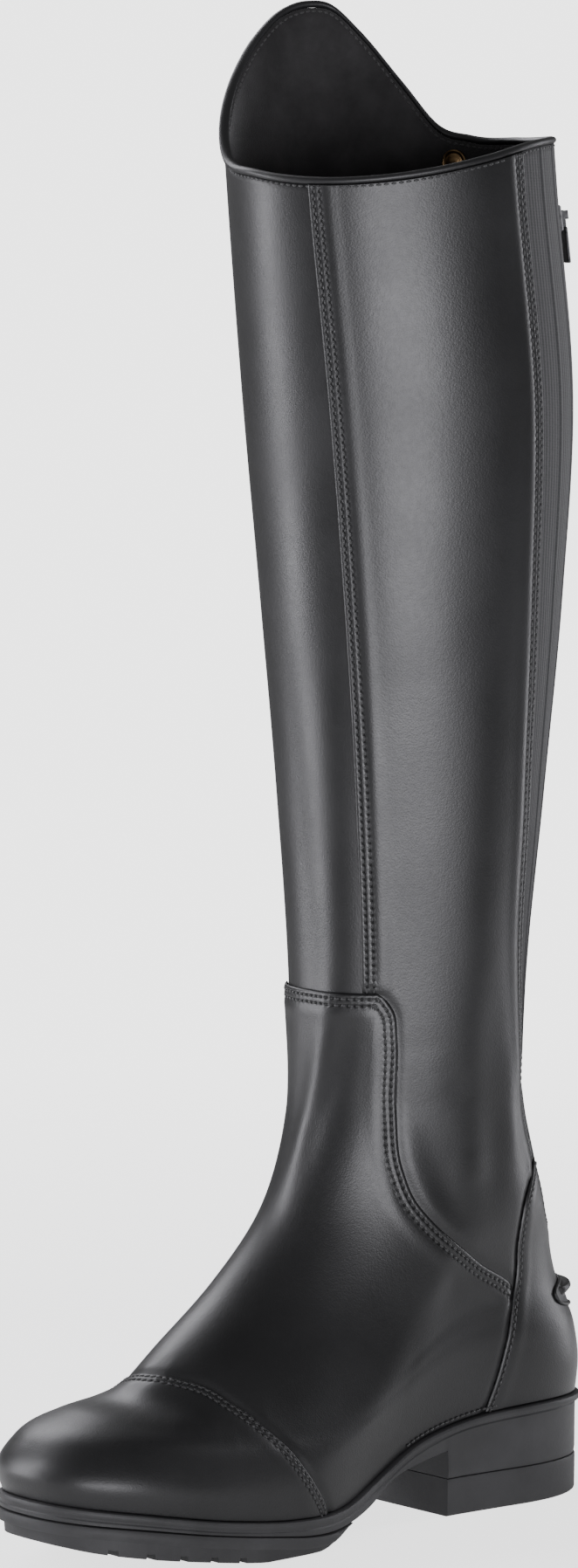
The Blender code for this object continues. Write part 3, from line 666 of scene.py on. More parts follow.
def fold_height(gap, height, rows=STITCH_ROWS, puff=0.3):
    """Height of a panel at a distance from its folded edge: a round edge, sewn rows, then a soft puff."""
    out = EDGE_HEIGHT + (height - EDGE_HEIGHT) * rolled(gap)
    for row in rows:
        out = out - ROW_SINK * np.exp(-((gap - row) / 0.6) ** 2)
    if len(rows) > 1:
        out = out + ROW_BEAD * np.exp(-((gap - sum(rows) / len(rows)) / 0.7) ** 2)
    return out + puff * np.exp(-((gap - rows[-1] - PUFF_BEHIND) / 2.3) ** 2)


def tuck_height(gap):
    """How much a panel drops towards an edge that goes under its neighbour."""
    return TUCK * np.exp(-(np.clip(gap, 0, None) / TUCK_REACH) ** 2)


def mesh_object(name, bm, material, body=BODY, nodes=(), angle=40):
    """Store a mesh as a piece that rides on a body."""
    mesh = bpy.data.meshes.new(name)
    bm.to_mesh(mesh)
    bm.free()
    mesh.shade_smooth()
    if angle:
        mesh.set_sharp_from_angle(angle=math.radians(angle))
    thing = bpy.data.objects.new(name, mesh)
    bpy.context.scene.collection.objects.link(thing)
    for finish in material if isinstance(material, (list, tuple)) else [material]:
        mesh.materials.append(finish)
    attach(thing, body)
    if nodes:
        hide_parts(*nodes)
    return thing


def grid_mesh(points, weld=False, values=()):
    """A grid of quads with its corners at an array of points in millimetres, and values kept at them."""
    rows, columns = points.shape[:2]
    bm = bmesh.new()
    bmesh.ops.create_grid(bm, x_segments=columns - 1, y_segments=rows - 1, size=1)
    layers = [(bm.verts.layers.float.new(name), array) for name, array in values]
    placed = (points + np.array(SHIFT)) * MM
    for vert in bm.verts:
        i = round((vert.co.x + 1) / 2 * (columns - 1))
        j = round((vert.co.y + 1) / 2 * (rows - 1))
        vert.co = placed[j, i]
        for layer, array in layers:
            vert[layer] = array[j, i]
    if weld:
        bmesh.ops.remove_doubles(bm, verts=bm.verts, dist=0.00002)
    return bm


def thicken(thing, thickness=SHEET, inner_slot=0):
    """Give a sheet its thickness, inwards."""
    shell = thing.modifiers.new("thickness", "SOLIDIFY")
    shell.thickness = thickness * MM
    shell.offset = -1
    shell.material_offset = inner_slot
    shell.material_offset_rim = inner_slot


def panel(name, node, edges, folded, tucked, height, material, steps=(1.7, 1.9), extra=(),
          rows=STITCH_ROWS, puff=0.3):
    """A sewn leather panel over a node: its edges, and which of them are folded or go under others."""
    bottom, top, left, right = edges
    s = np.unique(np.concatenate([knots(max(length_of(bottom), length_of(top)), steps[0]), extra]))
    u = knots(max(length_of(left), length_of(right)), steps[1])
    at = patch(bottom, top, left, right, s, u)
    t, v = at[..., 0], np.clip(at[..., 1], 0.05, TOP)
    base = form(t, v)
    gap, number = edge_distance(base, folded)
    out = fold_height(gap, height, rows, puff) - tuck_height(edge_distance(base, tucked)[0])
    bm = grid_mesh(skin(t, v, out), values=(("edge", gap), ("stitch", number)))
    thicken(mesh_object(name, bm, material, nodes=(node,)))


def moved(line, shift):
    """An edge moved sideways over the form, to the left of its run when seen from outside."""
    t, v = line[:, 0], line[:, 1]
    run = unit(np.gradient(on_line(line), axis=0))
    side = np.cross(normal(t, v), run) * shift
    around, up = directions(t, v)
    aa, au, uu = (around * around).sum(-1), (around * up).sum(-1), (up * up).sum(-1)
    sa, su = (side * around).sum(-1), (side * up).sum(-1)
    span = aa * uu - au * au
    return edge(t + (sa * uu - su * au) / span, np.clip(v + (su * aa - sa * au) / span, 0.05, TOP))


def repeated(bm, frames, make, share=24):
    """Make a small shape at each of many frames, a few at a time, and gather them in one mesh."""
    for first in range(0, len(frames), share):
        part = bmesh.new()
        for matrix in frames[first:first + share]:
            make(part, Matrix(matrix))
        mesh = bpy.data.meshes.new("part")
        part.to_mesh(mesh)
        part.free()
        bm.from_mesh(mesh)
        bpy.data.meshes.remove(mesh)


def collar_cover(t):
    """Height of the leather just below the collar at angles t."""
    sizes = bpy.context.scene.boot_sizes
    turn = t % 360
    wide = float(strip_edge(np.array([TOP]), FACING_OUT)[0])
    rear = float(rear_edge(np.array([TOP]))[0])
    panels = ((turn > FRONT_SEAM) & (turn < rear)) | ((turn > 360 - wide) & (turn < 360 - FRONT_SEAM))
    facings = (turn >= wide) & (turn <= 360 - wide)
    gusset = (turn >= rear) & (turn < wide)
    return np.select([panels, facings, gusset], [sizes.shaft_skin / MM, 1.2, 0.6], 0.0)


def frames_at(points, *axes):
    """Matrices at points in millimetres, each axis a direction times its length."""
    frames = np.zeros((len(points), 4, 4))
    for k, axis in enumerate(axes):
        frames[:, :3, k] = axis * MM
    frames[:, :3, 3] = (points + np.array(SHIFT)) * MM
    frames[:, 3, 3] = 1
    return frames


def collar_line():
    return edge(np.linspace(-179, 179, 300), TOP)


def stitch_row(bm, line, shift, height):
    """Sew one row of stitches at a distance from an edge; the height may be a function of the angle."""
    sizes = bpy.context.scene.boot_sizes
    count = stitch_count(line)
    at = moved(along(line, (np.arange(count) + 0.5) / count), shift)
    t, v = at[:, 0], at[:, 1]
    points = skin(t, v, height(t) if callable(height) else np.full(count, height))
    run = unit(np.gradient(points, axis=0))
    out = normal(t, v)
    side = unit(np.cross(out, run))
    thread = sizes.thread / MM
    frames = frames_at(points, run * (sizes.stitch_length / MM), side * thread, out * (thread * THREAD_FLAT))

    def sew(part, matrix):
        bmesh.ops.create_uvsphere(part, u_segments=6, v_segments=4, radius=0.5, matrix=matrix)
    repeated(bm, frames, sew)


def once(store):
    """Make a named material or node group only when it is not there yet."""
    def wrap(make):
        @wraps(make)
        def get(name, *values, **named):
            return getattr(bpy.data, store).get(name) or make(name, *values, **named)
        return get
    return wrap


def nodes_of(name):
    """A new material with its node tree and its main shader."""
    material = bpy.data.materials.new(name)
    material.use_nodes = True
    tree = material.node_tree
    return material, tree, tree.nodes["Principled BSDF"]


def put(tree, node, values):
    """Link values to a node's inputs, or set those that are plain."""
    for label, value in values.items():
        if isinstance(value, bpy.types.NodeSocket):
            tree.links.new(value, node.inputs[label])
        else:
            node.inputs[label].default_value = value


def add(tree, kind, output, values, **settings):
    """One output of a new shader node with these settings and inputs."""
    node = tree.nodes.new("ShaderNode" + kind)
    for label, setting in settings.items():
        setattr(node, label, setting)
    put(tree, node, values)
    return node.outputs[output]


def noise_node(tree, coordinate, scale, detail=2.0, rough=0.5):
    return add(tree, "TexNoise", "Fac", {
        "Vector": coordinate, "Scale": scale, "Detail": detail, "Roughness": rough})


def range_node(tree, value, low, high, to_low=0.0, to_high=1.0):
    return add(tree, "MapRange", "Result", {
        "Value": value, "From Min": low, "From Max": high, "To Min": to_low, "To Max": to_high})


def math_node(tree, operation, a, b):
    return add(tree, "Math", "Value", {0: a, 1: b}, operation=operation)


def blend(tree, a, a_share, b, b_share):
    """Sum of two values, each times its share."""
    return math_node(tree, "ADD", math_node(tree, "MULTIPLY", a, a_share),
                     math_node(tree, "MULTIPLY", b, b_share))


def mix_colour(tree, mask, a, b):
    """Colour a where the mask is 0 and colour b where it is 1."""
    a, b = (tint if isinstance(tint, bpy.types.NodeSocket) else (*tint, 1) for tint in (a, b))
    return add(tree, "Mix", 2, {0: mask, 6: a, 7: b}, data_type="RGBA")


def bump_node(tree, height, strength, distance=0.0003):
    return add(tree, "Bump", "Normal", {"Height": height, "Strength": strength, "Distance": distance})


def object_coordinate(tree):
    return add(tree, "TexCoord", "Object", {})


def attribute_value(tree, name):
    return add(tree, "Attribute", "Fac", {}, attribute_name=name)


def light_path(tree, others, camera):
    """One value for the camera's rays and another for all others."""
    return range_node(tree, add(tree, "LightPath", "Is Camera Ray", {}), 0.0, 1.0, others, camera)


def scaled(colour, share):
    return [channel * share for channel in colour]


def new_group(name, inputs, outputs):
    """An empty shader node group with named sockets."""
    group = bpy.data.node_groups.new(name, "ShaderNodeTree")
    for label, kind, value in inputs:
        socket = group.interface.new_socket(label, in_out="INPUT", socket_type=kind)
        if value is not None:
            socket.default_value = value
    for label in outputs:
        group.interface.new_socket(label, in_out="OUTPUT", socket_type="NodeSocketFloat")
    entry = group.nodes.new("NodeGroupInput")
    leave = group.nodes.new("NodeGroupOutput")
    return group, entry, leave


@once("node_groups")
def grain_group(name):
    """Fine leather grain with patches of handling: its height, its wear and its gloss."""
    group, entry, leave = new_group(
        name,
        (("Vector", "NodeSocketVector", None), ("Grain", "NodeSocketFloat", 1500.0),
         ("Patches", "NodeSocketFloat", 22.0)),
        ("Height", "Wear", "Gloss"))
    cells = add(group, "TexVoronoi", "Distance", {
        "Vector": entry.outputs["Vector"], "Scale": entry.outputs["Grain"], "Smoothness": 0.6},
        feature="SMOOTH_F1")
    pore_scale = math_node(group, "MULTIPLY", entry.outputs["Grain"], 0.35)
    pores = noise_node(group, entry.outputs["Vector"], pore_scale, 3.0)
    patches = noise_node(group, entry.outputs["Vector"], entry.outputs["Patches"], 4.0)
    put(group, leave, {
        "Height": blend(group, cells, 0.7, pores, 0.6),
        "Wear": range_node(group, patches, 0.42, 0.72),
        "Gloss": blend(group, patches, 0.7, pores, 0.3)})
    return group


@once("node_groups")
def sewn_group(name):
    """Needle holes and puckers of up to two stitch rows along a panel's edge."""
    group, entry, leave = new_group(
        name,
        (("Edge", "NodeSocketFloat", 0.0), ("Stitch", "NodeSocketFloat", 0.0),
         ("Row 1", "NodeSocketFloat", STITCH_ROWS[0]), ("Row 2", "NodeSocketFloat", STITCH_ROWS[1])),
        ("Holes", "Pucker"))
    close, wide = [], []
    for label in ("Row 1", "Row 2"):
        off = math_node(group, "SUBTRACT", entry.outputs["Edge"], entry.outputs[label])
        off = math_node(group, "ABSOLUTE", off, 0.0)
        close.append(range_node(group, off, 0.2, 0.55, 1.0, 0.0))
        wide.append(range_node(group, off, 0.3, 1.3, 1.0, 0.0))
    phase = math_node(group, "PINGPONG", entry.outputs["Stitch"], 0.5)
    holes = range_node(group, phase, 0.07, 0.2, 1.0, 0.0)
    put(group, leave, {
        "Holes": math_node(group, "MULTIPLY", holes, math_node(group, "MAXIMUM", *close)),
        "Pucker": math_node(group, "MULTIPLY", phase, math_node(group, "MAXIMUM", *wide))})
    return group


def place_group(tree, group, values):
    """Outputs of a node group placed in a material."""
    node = tree.nodes.new("ShaderNodeGroup")
    node.node_tree = group
    put(tree, node, values)
    return node.outputs


def grained(tree, grain, patches):
    return place_group(tree, grain_group("leather_grain"), {
        "Vector": object_coordinate(tree), "Grain": grain, "Patches": patches})


@once("materials")
def leather(name, rough=(0.37, 0.49), grain=1500.0, bump=0.2, coat=0.08, rows=None):
    """Smooth, finely grained leather with a soft sheen, and the marks of sewing along its edges: needle
    holes, dented and with painted shade in them, and puckers.
    """
    colour = bpy.context.scene.boot_colours.leather
    material, tree, shader = nodes_of(name)
    skin_marks = grained(tree, grain, 22.0)
    tone = mix_colour(tree, skin_marks["Wear"], colour, scaled(colour, 1.5))
    gloss = range_node(tree, skin_marks["Gloss"], 0.3, 0.7, *rough)
    height = math_node(tree, "MULTIPLY", skin_marks["Height"], bump)
    if rows:
        sewn = place_group(tree, sewn_group("sewn_rows"), {
            "Edge": attribute_value(tree, "edge"), "Stitch": attribute_value(tree, "stitch"),
            "Row 1": rows[0], "Row 2": rows[-1]})
        # Painted shade: the leather's colour is darkened to near black in the needle holes
        tone = mix_colour(tree, sewn["Holes"], tone, HOLE_SHADE)
        gloss = math_node(tree, "ADD", gloss, math_node(tree, "MULTIPLY", sewn["Holes"], 0.5))
        height = math_node(tree, "ADD", height, math_node(tree, "MULTIPLY", sewn["Pucker"], 1.1))
        height = math_node(tree, "SUBTRACT", height, math_node(tree, "MULTIPLY", sewn["Holes"], 0.9))
    put(tree, shader, {
        "Base Color": tone, "Roughness": gloss, "Normal": bump_node(tree, height, 1.0),
        "Specular IOR Level": 0.5, "Coat Weight": coat, "Coat Roughness": 0.3})
    return material


def trim_leather():
    return leather("leather_trim", TRIM_ROUGH, bump=0.14, coat=0.04)


def foot_leather(name, rough, rows):
    return leather(name, rough, 1700.0, 0.18, 0.1, rows)


@once("materials")
def lining_suede(name):
    """Short dark nap with brushed patches."""
    colour = bpy.context.scene.boot_colours.lining
    material, tree, shader = nodes_of(name)
    where = object_coordinate(tree)
    brushed = range_node(tree, noise_node(tree, where, 60.0, 5.0, 0.65), 0.35, 0.7)
    nap = noise_node(tree, where, 1900.0, 3.0, 0.7)
    put(tree, shader, {
        "Base Color": mix_colour(tree, brushed, colour, scaled(colour, 1.8)),
        "Normal": bump_node(tree, nap, 0.5, 0.0005), "Roughness": 0.95, "Specular IOR Level": 0.2,
        "Sheen Weight": 0.2, "Sheen Roughness": 0.4})
    return material


@once("materials")
def rubber(name, rough=(0.48, 0.62), scale=900.0):
    """Moulded rubber with a fine satin skin and scuffed patches."""
    colour = bpy.context.scene.boot_colours.rubber
    material, tree, shader = nodes_of(name)
    marks = grained(tree, scale, 45.0)
    put(tree, shader, {
        "Base Color": mix_colour(tree, marks["Wear"], colour, scaled(colour, 1.5)),
        "Roughness": range_node(tree, marks["Gloss"], 0.3, 0.7, *rough),
        "Normal": bump_node(tree, marks["Height"], 0.15), "Specular IOR Level": 0.45})
    return material


@once("materials")
def woven(name, colour, scale, rough=0.75, strength=0.5):
    """Close woven thread or tape."""
    material, tree, shader = nodes_of(name)
    where = object_coordinate(tree)
    threads = add(tree, "TexWave", "Fac", {"Vector": where, "Scale": scale, "Distortion": 1.5},
                  bands_direction="Z")
    fibre = noise_node(tree, where, scale * 1.7, 3.0, 0.6)
    mask = range_node(tree, fibre, 0.35, 0.7)
    put(tree, shader, {
        "Base Color": mix_colour(tree, mask, colour, scaled(colour, 1.7)),
        "Normal": bump_node(tree, math_node(tree, "ADD", threads, fibre), strength),
        "Roughness": rough, "Sheen Weight": 0.1})
    return material


@once("materials")
def moulded_plastic(name):
    """Black zip plastic."""
    material, tree, shader = nodes_of(name)
    where = object_coordinate(tree)
    mask = range_node(tree, noise_node(tree, where, 160.0), 0.35, 0.65)
    put(tree, shader, {
        "Roughness": range_node(tree, noise_node(tree, where, 700.0, 3.0), 0.3, 0.7, 0.32, 0.48),
        "Base Color": mix_colour(tree, mask, *PLASTIC)})
    return material


@once("materials")
def brushed_metal(name, colour, dark, rough=(0.25, 0.42)):
    """Worn metal with fine brush marks."""
    material, tree, shader = nodes_of(name)
    where = object_coordinate(tree)
    stretched = add(tree, "Mapping", "Vector", {"Vector": where, "Scale": (1.0, 1.0, 0.12)})
    marks = noise_node(tree, stretched, 2400.0, 4.0, 0.6)
    worn = range_node(tree, noise_node(tree, where, 420.0, 4.0), 0.4, 0.68)
    put(tree, shader, {
        "Base Color": mix_colour(tree, worn, colour, dark),
        "Roughness": range_node(tree, marks, 0.3, 0.7, *rough),
        "Normal": bump_node(tree, marks, 0.15, 0.0002), "Metallic": 1.0})
    return material


def finish_node(name, material):
    """Give a solid that stays visible its material."""
    materials = frame["nodes"][name].data.materials
    materials.clear()
    materials.append(material)


class BOOT_OT_upper(bpy.types.Operator):
    """Make the leather of the leg's front with the lining inside"""
    bl_idname = "boot.upper"
    bl_label = "Upper and lining"

    def execute(self, context):
        t = np.linspace(-180, 180, 181)
        v = np.concatenate([[0.0, 3.0], np.linspace(6, TOP, 196)])
        across, up = np.meshgrid(t, v)
        bm = grid_mesh(skin(across, up, np.zeros(across.shape)), weld=True)
        thing = mesh_object("upper_leather", bm, [leather("leather_shaft"), lining_suede("lining_suede")],
                            nodes=("upper",))
        thicken(thing, context.scene.boot_sizes.wall / MM, 1)
        return {"FINISHED"}


def leg_folds(side):
    """Front and rear edges of the inner (1) or outer (-1) leg panel, both from the foot to the collar."""
    seam = vamp_levels(side)[1]
    front = edge(FRONT_SEAM if side > 0 else 360 - FRONT_SEAM, np.linspace(seam, TOP, 200))
    return front, inner_rear() if side > 0 else outer_rear()


class BOOT_OT_leg_panels(bpy.types.Operator):
    """Make the inner and outer leg panels"""
    bl_idname = "boot.leg_panels"
    bl_label = "Leg panels"

    def execute(self, context):
        height = context.scene.boot_sizes.shaft_skin / MM
        finish = leather("leather_leg", rows=STITCH_ROWS)
        _, seam, junction = vamp_levels(1)
        front, right = leg_folds(1)
        climb = vamp_side(1, junction, seam)
        climb[-1] = front[0]
        left = np.concatenate([climb, front[1:]])
        bottom = counter_side(1, junction, apex_level(1))
        bottom[0] = climb[0]
        bottom[-1] = right[0]
        top = edge(np.linspace(FRONT_SEAM, right[-1, 0], 120), TOP)
        panel("leg_panel_inner", "shaft_panel_inner", (bottom, top, left, right), (front, right),
              (climb, bottom), height, finish, puff=0.5)
        _, seam, junction = vamp_levels(-1)
        front, left = leg_folds(-1)
        climb = whole(vamp_side(-1, junction, seam))
        climb[-1] = front[0]
        right = np.concatenate([climb, front[1:]])
        apex = apex_level(-1)
        ear = float(counter_angle(np.array([apex]), -1)[0])
        rim = np.linspace(360 - left[0, 0], ear, 80)
        crest = edge(360 - rim, counter_level(rim, -1))
        bottom = np.concatenate([crest, whole(counter_side(-1, apex, junction))[1:]])
        bottom[-1] = climb[0]
        left[0] = bottom[0]
        top = edge(np.linspace(left[-1, 0], 360 - FRONT_SEAM, 140), TOP)
        panel("leg_panel_outer", "shaft_panel_outer", (bottom, top, left, right), (left, front),
              (climb, bottom), height, finish, puff=0.5)
        return {"FINISHED"}


def cap_seam_line(count=260):
    t = np.linspace(-cap_corner(-1), cap_corner(1), count)
    line = edge(t, cap_level(t))
    line[0, 1] = line[-1, 1] = HEM
    return line


def vamp_rear():
    """The vamp's rear edge from the outer sole over the front to the inner sole, and where its sides end."""
    top, _, _ = vamp_levels(1)
    outer = vamp_side(-1, HEM, top)
    inner = vamp_side(1, top, HEM)
    across = edge(np.linspace(outer[-1, 0], inner[0, 0], 60), top)
    return np.concatenate([outer, across[1:-1], inner]), len(outer) - 1, len(outer) + len(across) - 3


def vamp_fold():
    """The part of the vamp's rear edge that lies over the leg."""
    line, _, _ = vamp_rear()
    shown = np.nonzero(on_line(line)[:, 2] > JUNCTION_Z + 1)[0]
    return line[shown[0]:shown[-1] + 1]


def counter_rim():
    """The counter's sewn edge: up its inner front, round the back and down its outer front."""
    inner, outer = apex_level(1), apex_level(-1)
    up = counter_side(1, HEM, inner)
    down = whole(counter_side(-1, outer, HEM))
    t_in = np.linspace(up[-1, 0], 180, 90)
    t_out = np.linspace(180, down[0, 0], 90)
    over_in = edge(t_in, counter_level(t_in, 1))
    over_out = edge(t_out, counter_level(360 - t_out, -1))
    return up, np.concatenate([over_in, over_out[1:]]), down


class BOOT_OT_foot_panels(bpy.types.Operator):
    """Make the vamp, the toe cap and the heel counter"""
    bl_idname = "boot.foot_panels"
    bl_label = "Foot panels"

    def execute(self, context):
        sizes = context.scene.boot_sizes
        finish = foot_leather("leather_vamp", VAMP_ROUGH, STITCH_ROWS)
        cap_finish = foot_leather("leather_cap", CAP_ROUGH, CAP_ROWS)
        counter_finish = foot_leather("leather_counter", VAMP_ROUGH, COUNTER_ROWS)
        seam = cap_seam_line()
        rear, first, last = vamp_rear()
        run = measured(rear)[1]
        corners = run[[first, last]] / run[-1]
        left = edge(np.linspace(seam[0, 0], rear[0, 0], 80), HEM)
        right = edge(np.linspace(seam[-1, 0], rear[-1, 0], 80), HEM)
        sides = (rear[:first + 1], rear[last + 1:])
        hidden = [line[on_line(line)[:, 2] <= JUNCTION_Z + 1] for line in sides]
        panel("vamp_leather", "vamp", (seam, rear, left, right), (vamp_fold(),), [seam] + hidden,
              sizes.foot_skin / MM, finish, (2.1, 1.7), corners)
        count = len(seam)
        side = int(count * 0.2)
        bottom = edge(np.linspace(seam[0, 0], seam[-1, 0], 200), HEM)
        panel("toe_cap_leather", "toe_cap",
              (bottom, seam[side:count - side], seam[:side + 1], seam[:count - side - 2:-1]), (seam,), (),
              sizes.foot_skin / MM + CAP_EXTRA, cap_finish, (1.5, 1.5), (), CAP_ROWS, 0.1)
        up, over, down = counter_rim()
        bottom = edge(np.linspace(up[0, 0], down[-1, 0], 160), HEM)
        panel("counter_leather", "heel_counter", (bottom, over, up, down[::-1]), (up, over, down), (),
              sizes.counter_skin / MM, counter_finish, (1.6, 1.6), (), COUNTER_ROWS, 0.25)
        return {"FINISHED"}


class BOOT_OT_stitches(bpy.types.Operator):
    """Sew the seams"""
    bl_idname = "boot.stitches"
    bl_label = "Stitching"

    def execute(self, context):
        sizes = context.scene.boot_sizes
        thread = woven("thread_black", context.scene.boot_colours.thread, 2600.0, 0.42, 0.25)
        shaft, foot, counter = sizes.shaft_skin / MM, sizes.foot_skin / MM, sizes.counter_skin / MM
        leg = bmesh.new()
        for side, sign in ((1, -1), (-1, 1)):
            front, rear = leg_folds(side)
            for row in STITCH_ROWS:
                stitch_row(leg, front, sign * row, shaft - THREAD_SINK)
                stitch_row(leg, rear, -sign * row, shaft - THREAD_SINK)
        stitch_row(leg, collar_line(), -COLLAR_ROW, collar_cover)
        mesh_object("leg_stitches", leg, thread, angle=0)
        shoe = bmesh.new()
        for row in STITCH_ROWS:
            stitch_row(shoe, vamp_fold(), -row, foot - THREAD_SINK)
        for row in CAP_ROWS:
            stitch_row(shoe, cap_seam_line(), -row, foot + CAP_THREAD)
        for side in (1, -1):
            arch = edge(np.linspace(*(side * at for at in ARCH_STITCHES), 60), ARCH_LEVEL)
            stitch_row(shoe, arch, 0.0, foot + ARCH_OUT)
        for line in counter_rim():
            stitch_row(shoe, line, -COUNTER_ROWS[0], counter - THREAD_SINK)
        mesh_object("foot_stitches", shoe, thread, angle=0)
        return {"FINISHED"}


def strip(name, node, start, left, right, heights, material, columns, thickness=SHEET):
    """A strip up the back between two edges, with its lowest level and height for each share of its width."""
    s = np.linspace(0, 1, columns)
    across, up = np.meshgrid(s, np.linspace(0, 1, 170))
    low = start(s)[None]
    v = low + up * (TOP - low)
    t = left(v) * (1 - across) + right(v) * across
    bm = grid_mesh(skin(t, v, np.broadcast_to(heights(s)[None], t.shape)))
    thicken(mesh_object(name, bm, material, nodes=(node,)), thickness)


def counter_foot(left, right, side):
    """Lowest levels of a strip between two edges, where it meets the counter."""
    def low(s):
        guess = np.full(s.shape, LEVELS[6])
        for _ in range(6):
            t = left(guess) * (1 - s) + right(guess) * s
            guess = counter_level(t if side > 0 else 360 - t, side)
        return guess
    return low


def mirrored(line):
    return lambda v: 360 - line(v)


def wide(v):
    """Outer edge of the inner zip facing."""
    return strip_edge(v, FACING_OUT)


def narrow(v):
    """Edge of the inner zip facing next to the teeth."""
    return strip_edge(v, FACING_IN)


class BOOT_OT_zip(bpy.types.Operator):
    """Make the elastic gusset, the zip with its facings and the finish of its slider"""
    bl_idname = "boot.zip"
    bl_label = "Zip and elastic"

    def execute(self, context):
        colours = context.scene.boot_colours
        rear = inner_rear()

        def panel_edge(v):
            return np.interp(v, rear[:, 1], rear[:, 0])

        def ribs(s):
            across = np.abs(np.sin(s * math.pi * GUSSET_RIBS))
            lines = np.exp(-((s - 0.3) / 0.025) ** 2) + np.exp(-((s - 0.62) / 0.025) ** 2)
            return 0.5 + 0.14 * across + 0.5 * lines

        elastic = woven("elastic_rib", colours.elastic, 700.0, 0.72, 0.4)
        strip("gusset_elastic", "elastic_gusset", counter_foot(panel_edge, wide, 1), panel_edge, wide, ribs,
              elastic, 133)

        def facing(s):
            gap = np.minimum(s, 1 - s) * (FACING_OUT - FACING_IN)
            return fold_height(gap, FACING_HEIGHT, FACING_ROWS, 0.0)

        far_narrow, far_wide = mirrored(narrow), mirrored(wide)
        for name, left, right, side in (("inner", wide, narrow, 1), ("outer", far_narrow, far_wide, -1)):
            strip("facing_" + name, "zip_facing_" + name, counter_foot(left, right, side), left, right,
                  facing, trim_leather(), 41)

        def tape(s):
            return 0.45 + 0.15 * np.abs(np.sin(s * math.pi * TAPE_RIBS))

        low = counter_foot(narrow, far_narrow, 1)(np.array([0.5]))[0]
        strip("zip_tape", "zip_chain", lambda s: np.full(s.shape, low), narrow, far_narrow, tape,
              woven("zip_tape", colours.elastic, 1300.0, 0.8, 0.5), 41, 0.3)
        self.teeth(low)
        metal = brushed_metal("zip_black_metal", *ZIP_METAL)
        for name in ("zip_slider", "zip_pull"):
            finish_node(name, metal)
        return {"FINISHED"}

    def teeth(self, low):
        """Rows of teeth, meshed from the foot of the zip up to the slider."""
        high = float(level_at(180.0, SLIDER_Z - TEETH_FROM_END))
        count = int((high - low - TEETH_FROM_END) / TOOTH_PITCH)
        bm = bmesh.new()
        v = low + TEETH_FROM_END + TOOTH_PITCH * np.arange(count)
        t = np.full(count, 180.0)
        around, up = directions(t, v)
        side, rise, out = unit(around), unit(up), normal(t, v)
        sway = np.where(np.arange(count) % 2, TOOTH_SWAY, -TOOTH_SWAY)[:, None]
        points = skin(t, v, np.full(count, TOOTH_OUT)) + side * sway
        wide_by, out_by, up_by = TOOTH_SIZE
        frames = frames_at(points, side * wide_by, out * out_by, rise * up_by)

        def tooth(part, matrix):
            made = bmesh.ops.create_cube(part, size=1, matrix=matrix)
            edges = list({line for vert in made["verts"] for line in vert.link_edges})
            bmesh.ops.bevel(part, geom=edges, offset=TOOTH_BEVEL * MM, offset_type="OFFSET", segments=1,
                            profile=0.5, affect="EDGES", material=-1)
        repeated(bm, frames, tooth)
        mesh_object("zip_teeth", bm, moulded_plastic("zip_plastic"))


class BOOT_OT_collar(bpy.types.Operator):
    """Make the bound collar edge, its inner stitches and the press stud"""
    bl_idname = "boot.collar"
    bl_label = "Collar"

    def execute(self, context):
        wall = context.scene.boot_sizes.wall / MM
        t = np.linspace(-180, 180, 241)
        angles = np.radians(np.linspace(0, 360, 15))
        across = BINDING_MIDDLE[0] + BINDING_HALF[0] * np.cos(angles)
        rise = BINDING_MIDDLE[1] + BINDING_HALF[1] * np.sin(angles)
        points = np.stack([skin(t, np.full(t.shape, TOP), np.full(t.shape, out)) for out in across])
        points[..., 2] += rise[:, None]
        bm = grid_mesh(points, weld=True)
        bmesh.ops.recalc_face_normals(bm, faces=bm.faces)
        mesh_object("collar_edge", bm, trim_leather(), nodes=("collar_binding",))
        sewn = bmesh.new()
        stitch_row(sewn, collar_line(), -LINING_ROW, -wall - 0.1)
        thread = woven("thread_lining", context.scene.boot_colours.lining, 2600.0, 0.7, 0.25)
        mesh_object("collar_stitches", sewn, thread, angle=0)
        self.stud(wall, context.scene.boot_colours.stud)
        return {"FINISHED"}

    def stud(self, wall, colour):
        """A domed cap with a rolled rim, on the inside of the wall."""
        bm = bmesh.new()
        verts = [bm.verts.new((radius * MM, 0, rise * MM)) for radius, rise in STUD_PROFILE]
        lines = [bm.edges.new(pair) for pair in zip(verts, verts[1:])]
        bmesh.ops.spin(bm, geom=verts + lines, cent=(0, 0, 0), axis=(0, 0, 1), angle=2 * math.pi, steps=40,
                       use_merge=True)
        bmesh.ops.remove_doubles(bm, verts=bm.verts, dist=0.00001)
        bmesh.ops.recalc_face_normals(bm, faces=bm.faces)
        t, z = np.array([STUD_AT[0]]), STUD_AT[1]
        v = level_at(t, z)
        at = skin(t, v, np.array([-wall - STUD_SINK]))[0]
        inward = -normal(t, v)[0]
        matrix = Vector(inward).to_track_quat("Z", "Y").to_matrix().to_4x4()
        matrix.translation = (Vector(at) + SHIFT) * MM
        bmesh.ops.transform(bm, matrix=matrix, verts=bm.verts)
        bronze = brushed_metal("stud_bronze", colour, DARK_BRONZE)
        mesh_object("stud_cap", bm, bronze, nodes=("press_stud",))


def outline(t, out):
    """Points of the feather outline in plan, moved outwards."""
    zero = np.zeros(np.shape(t))
    here = form(t, zero)
    step = form(t + 0.3, zero) - form(t - 0.3, zero)
    side = unit(np.stack([step[..., 1], -step[..., 0]], -1))
    return here[..., 0] + side[..., 0] * out, here[..., 1] + side[..., 1] * out


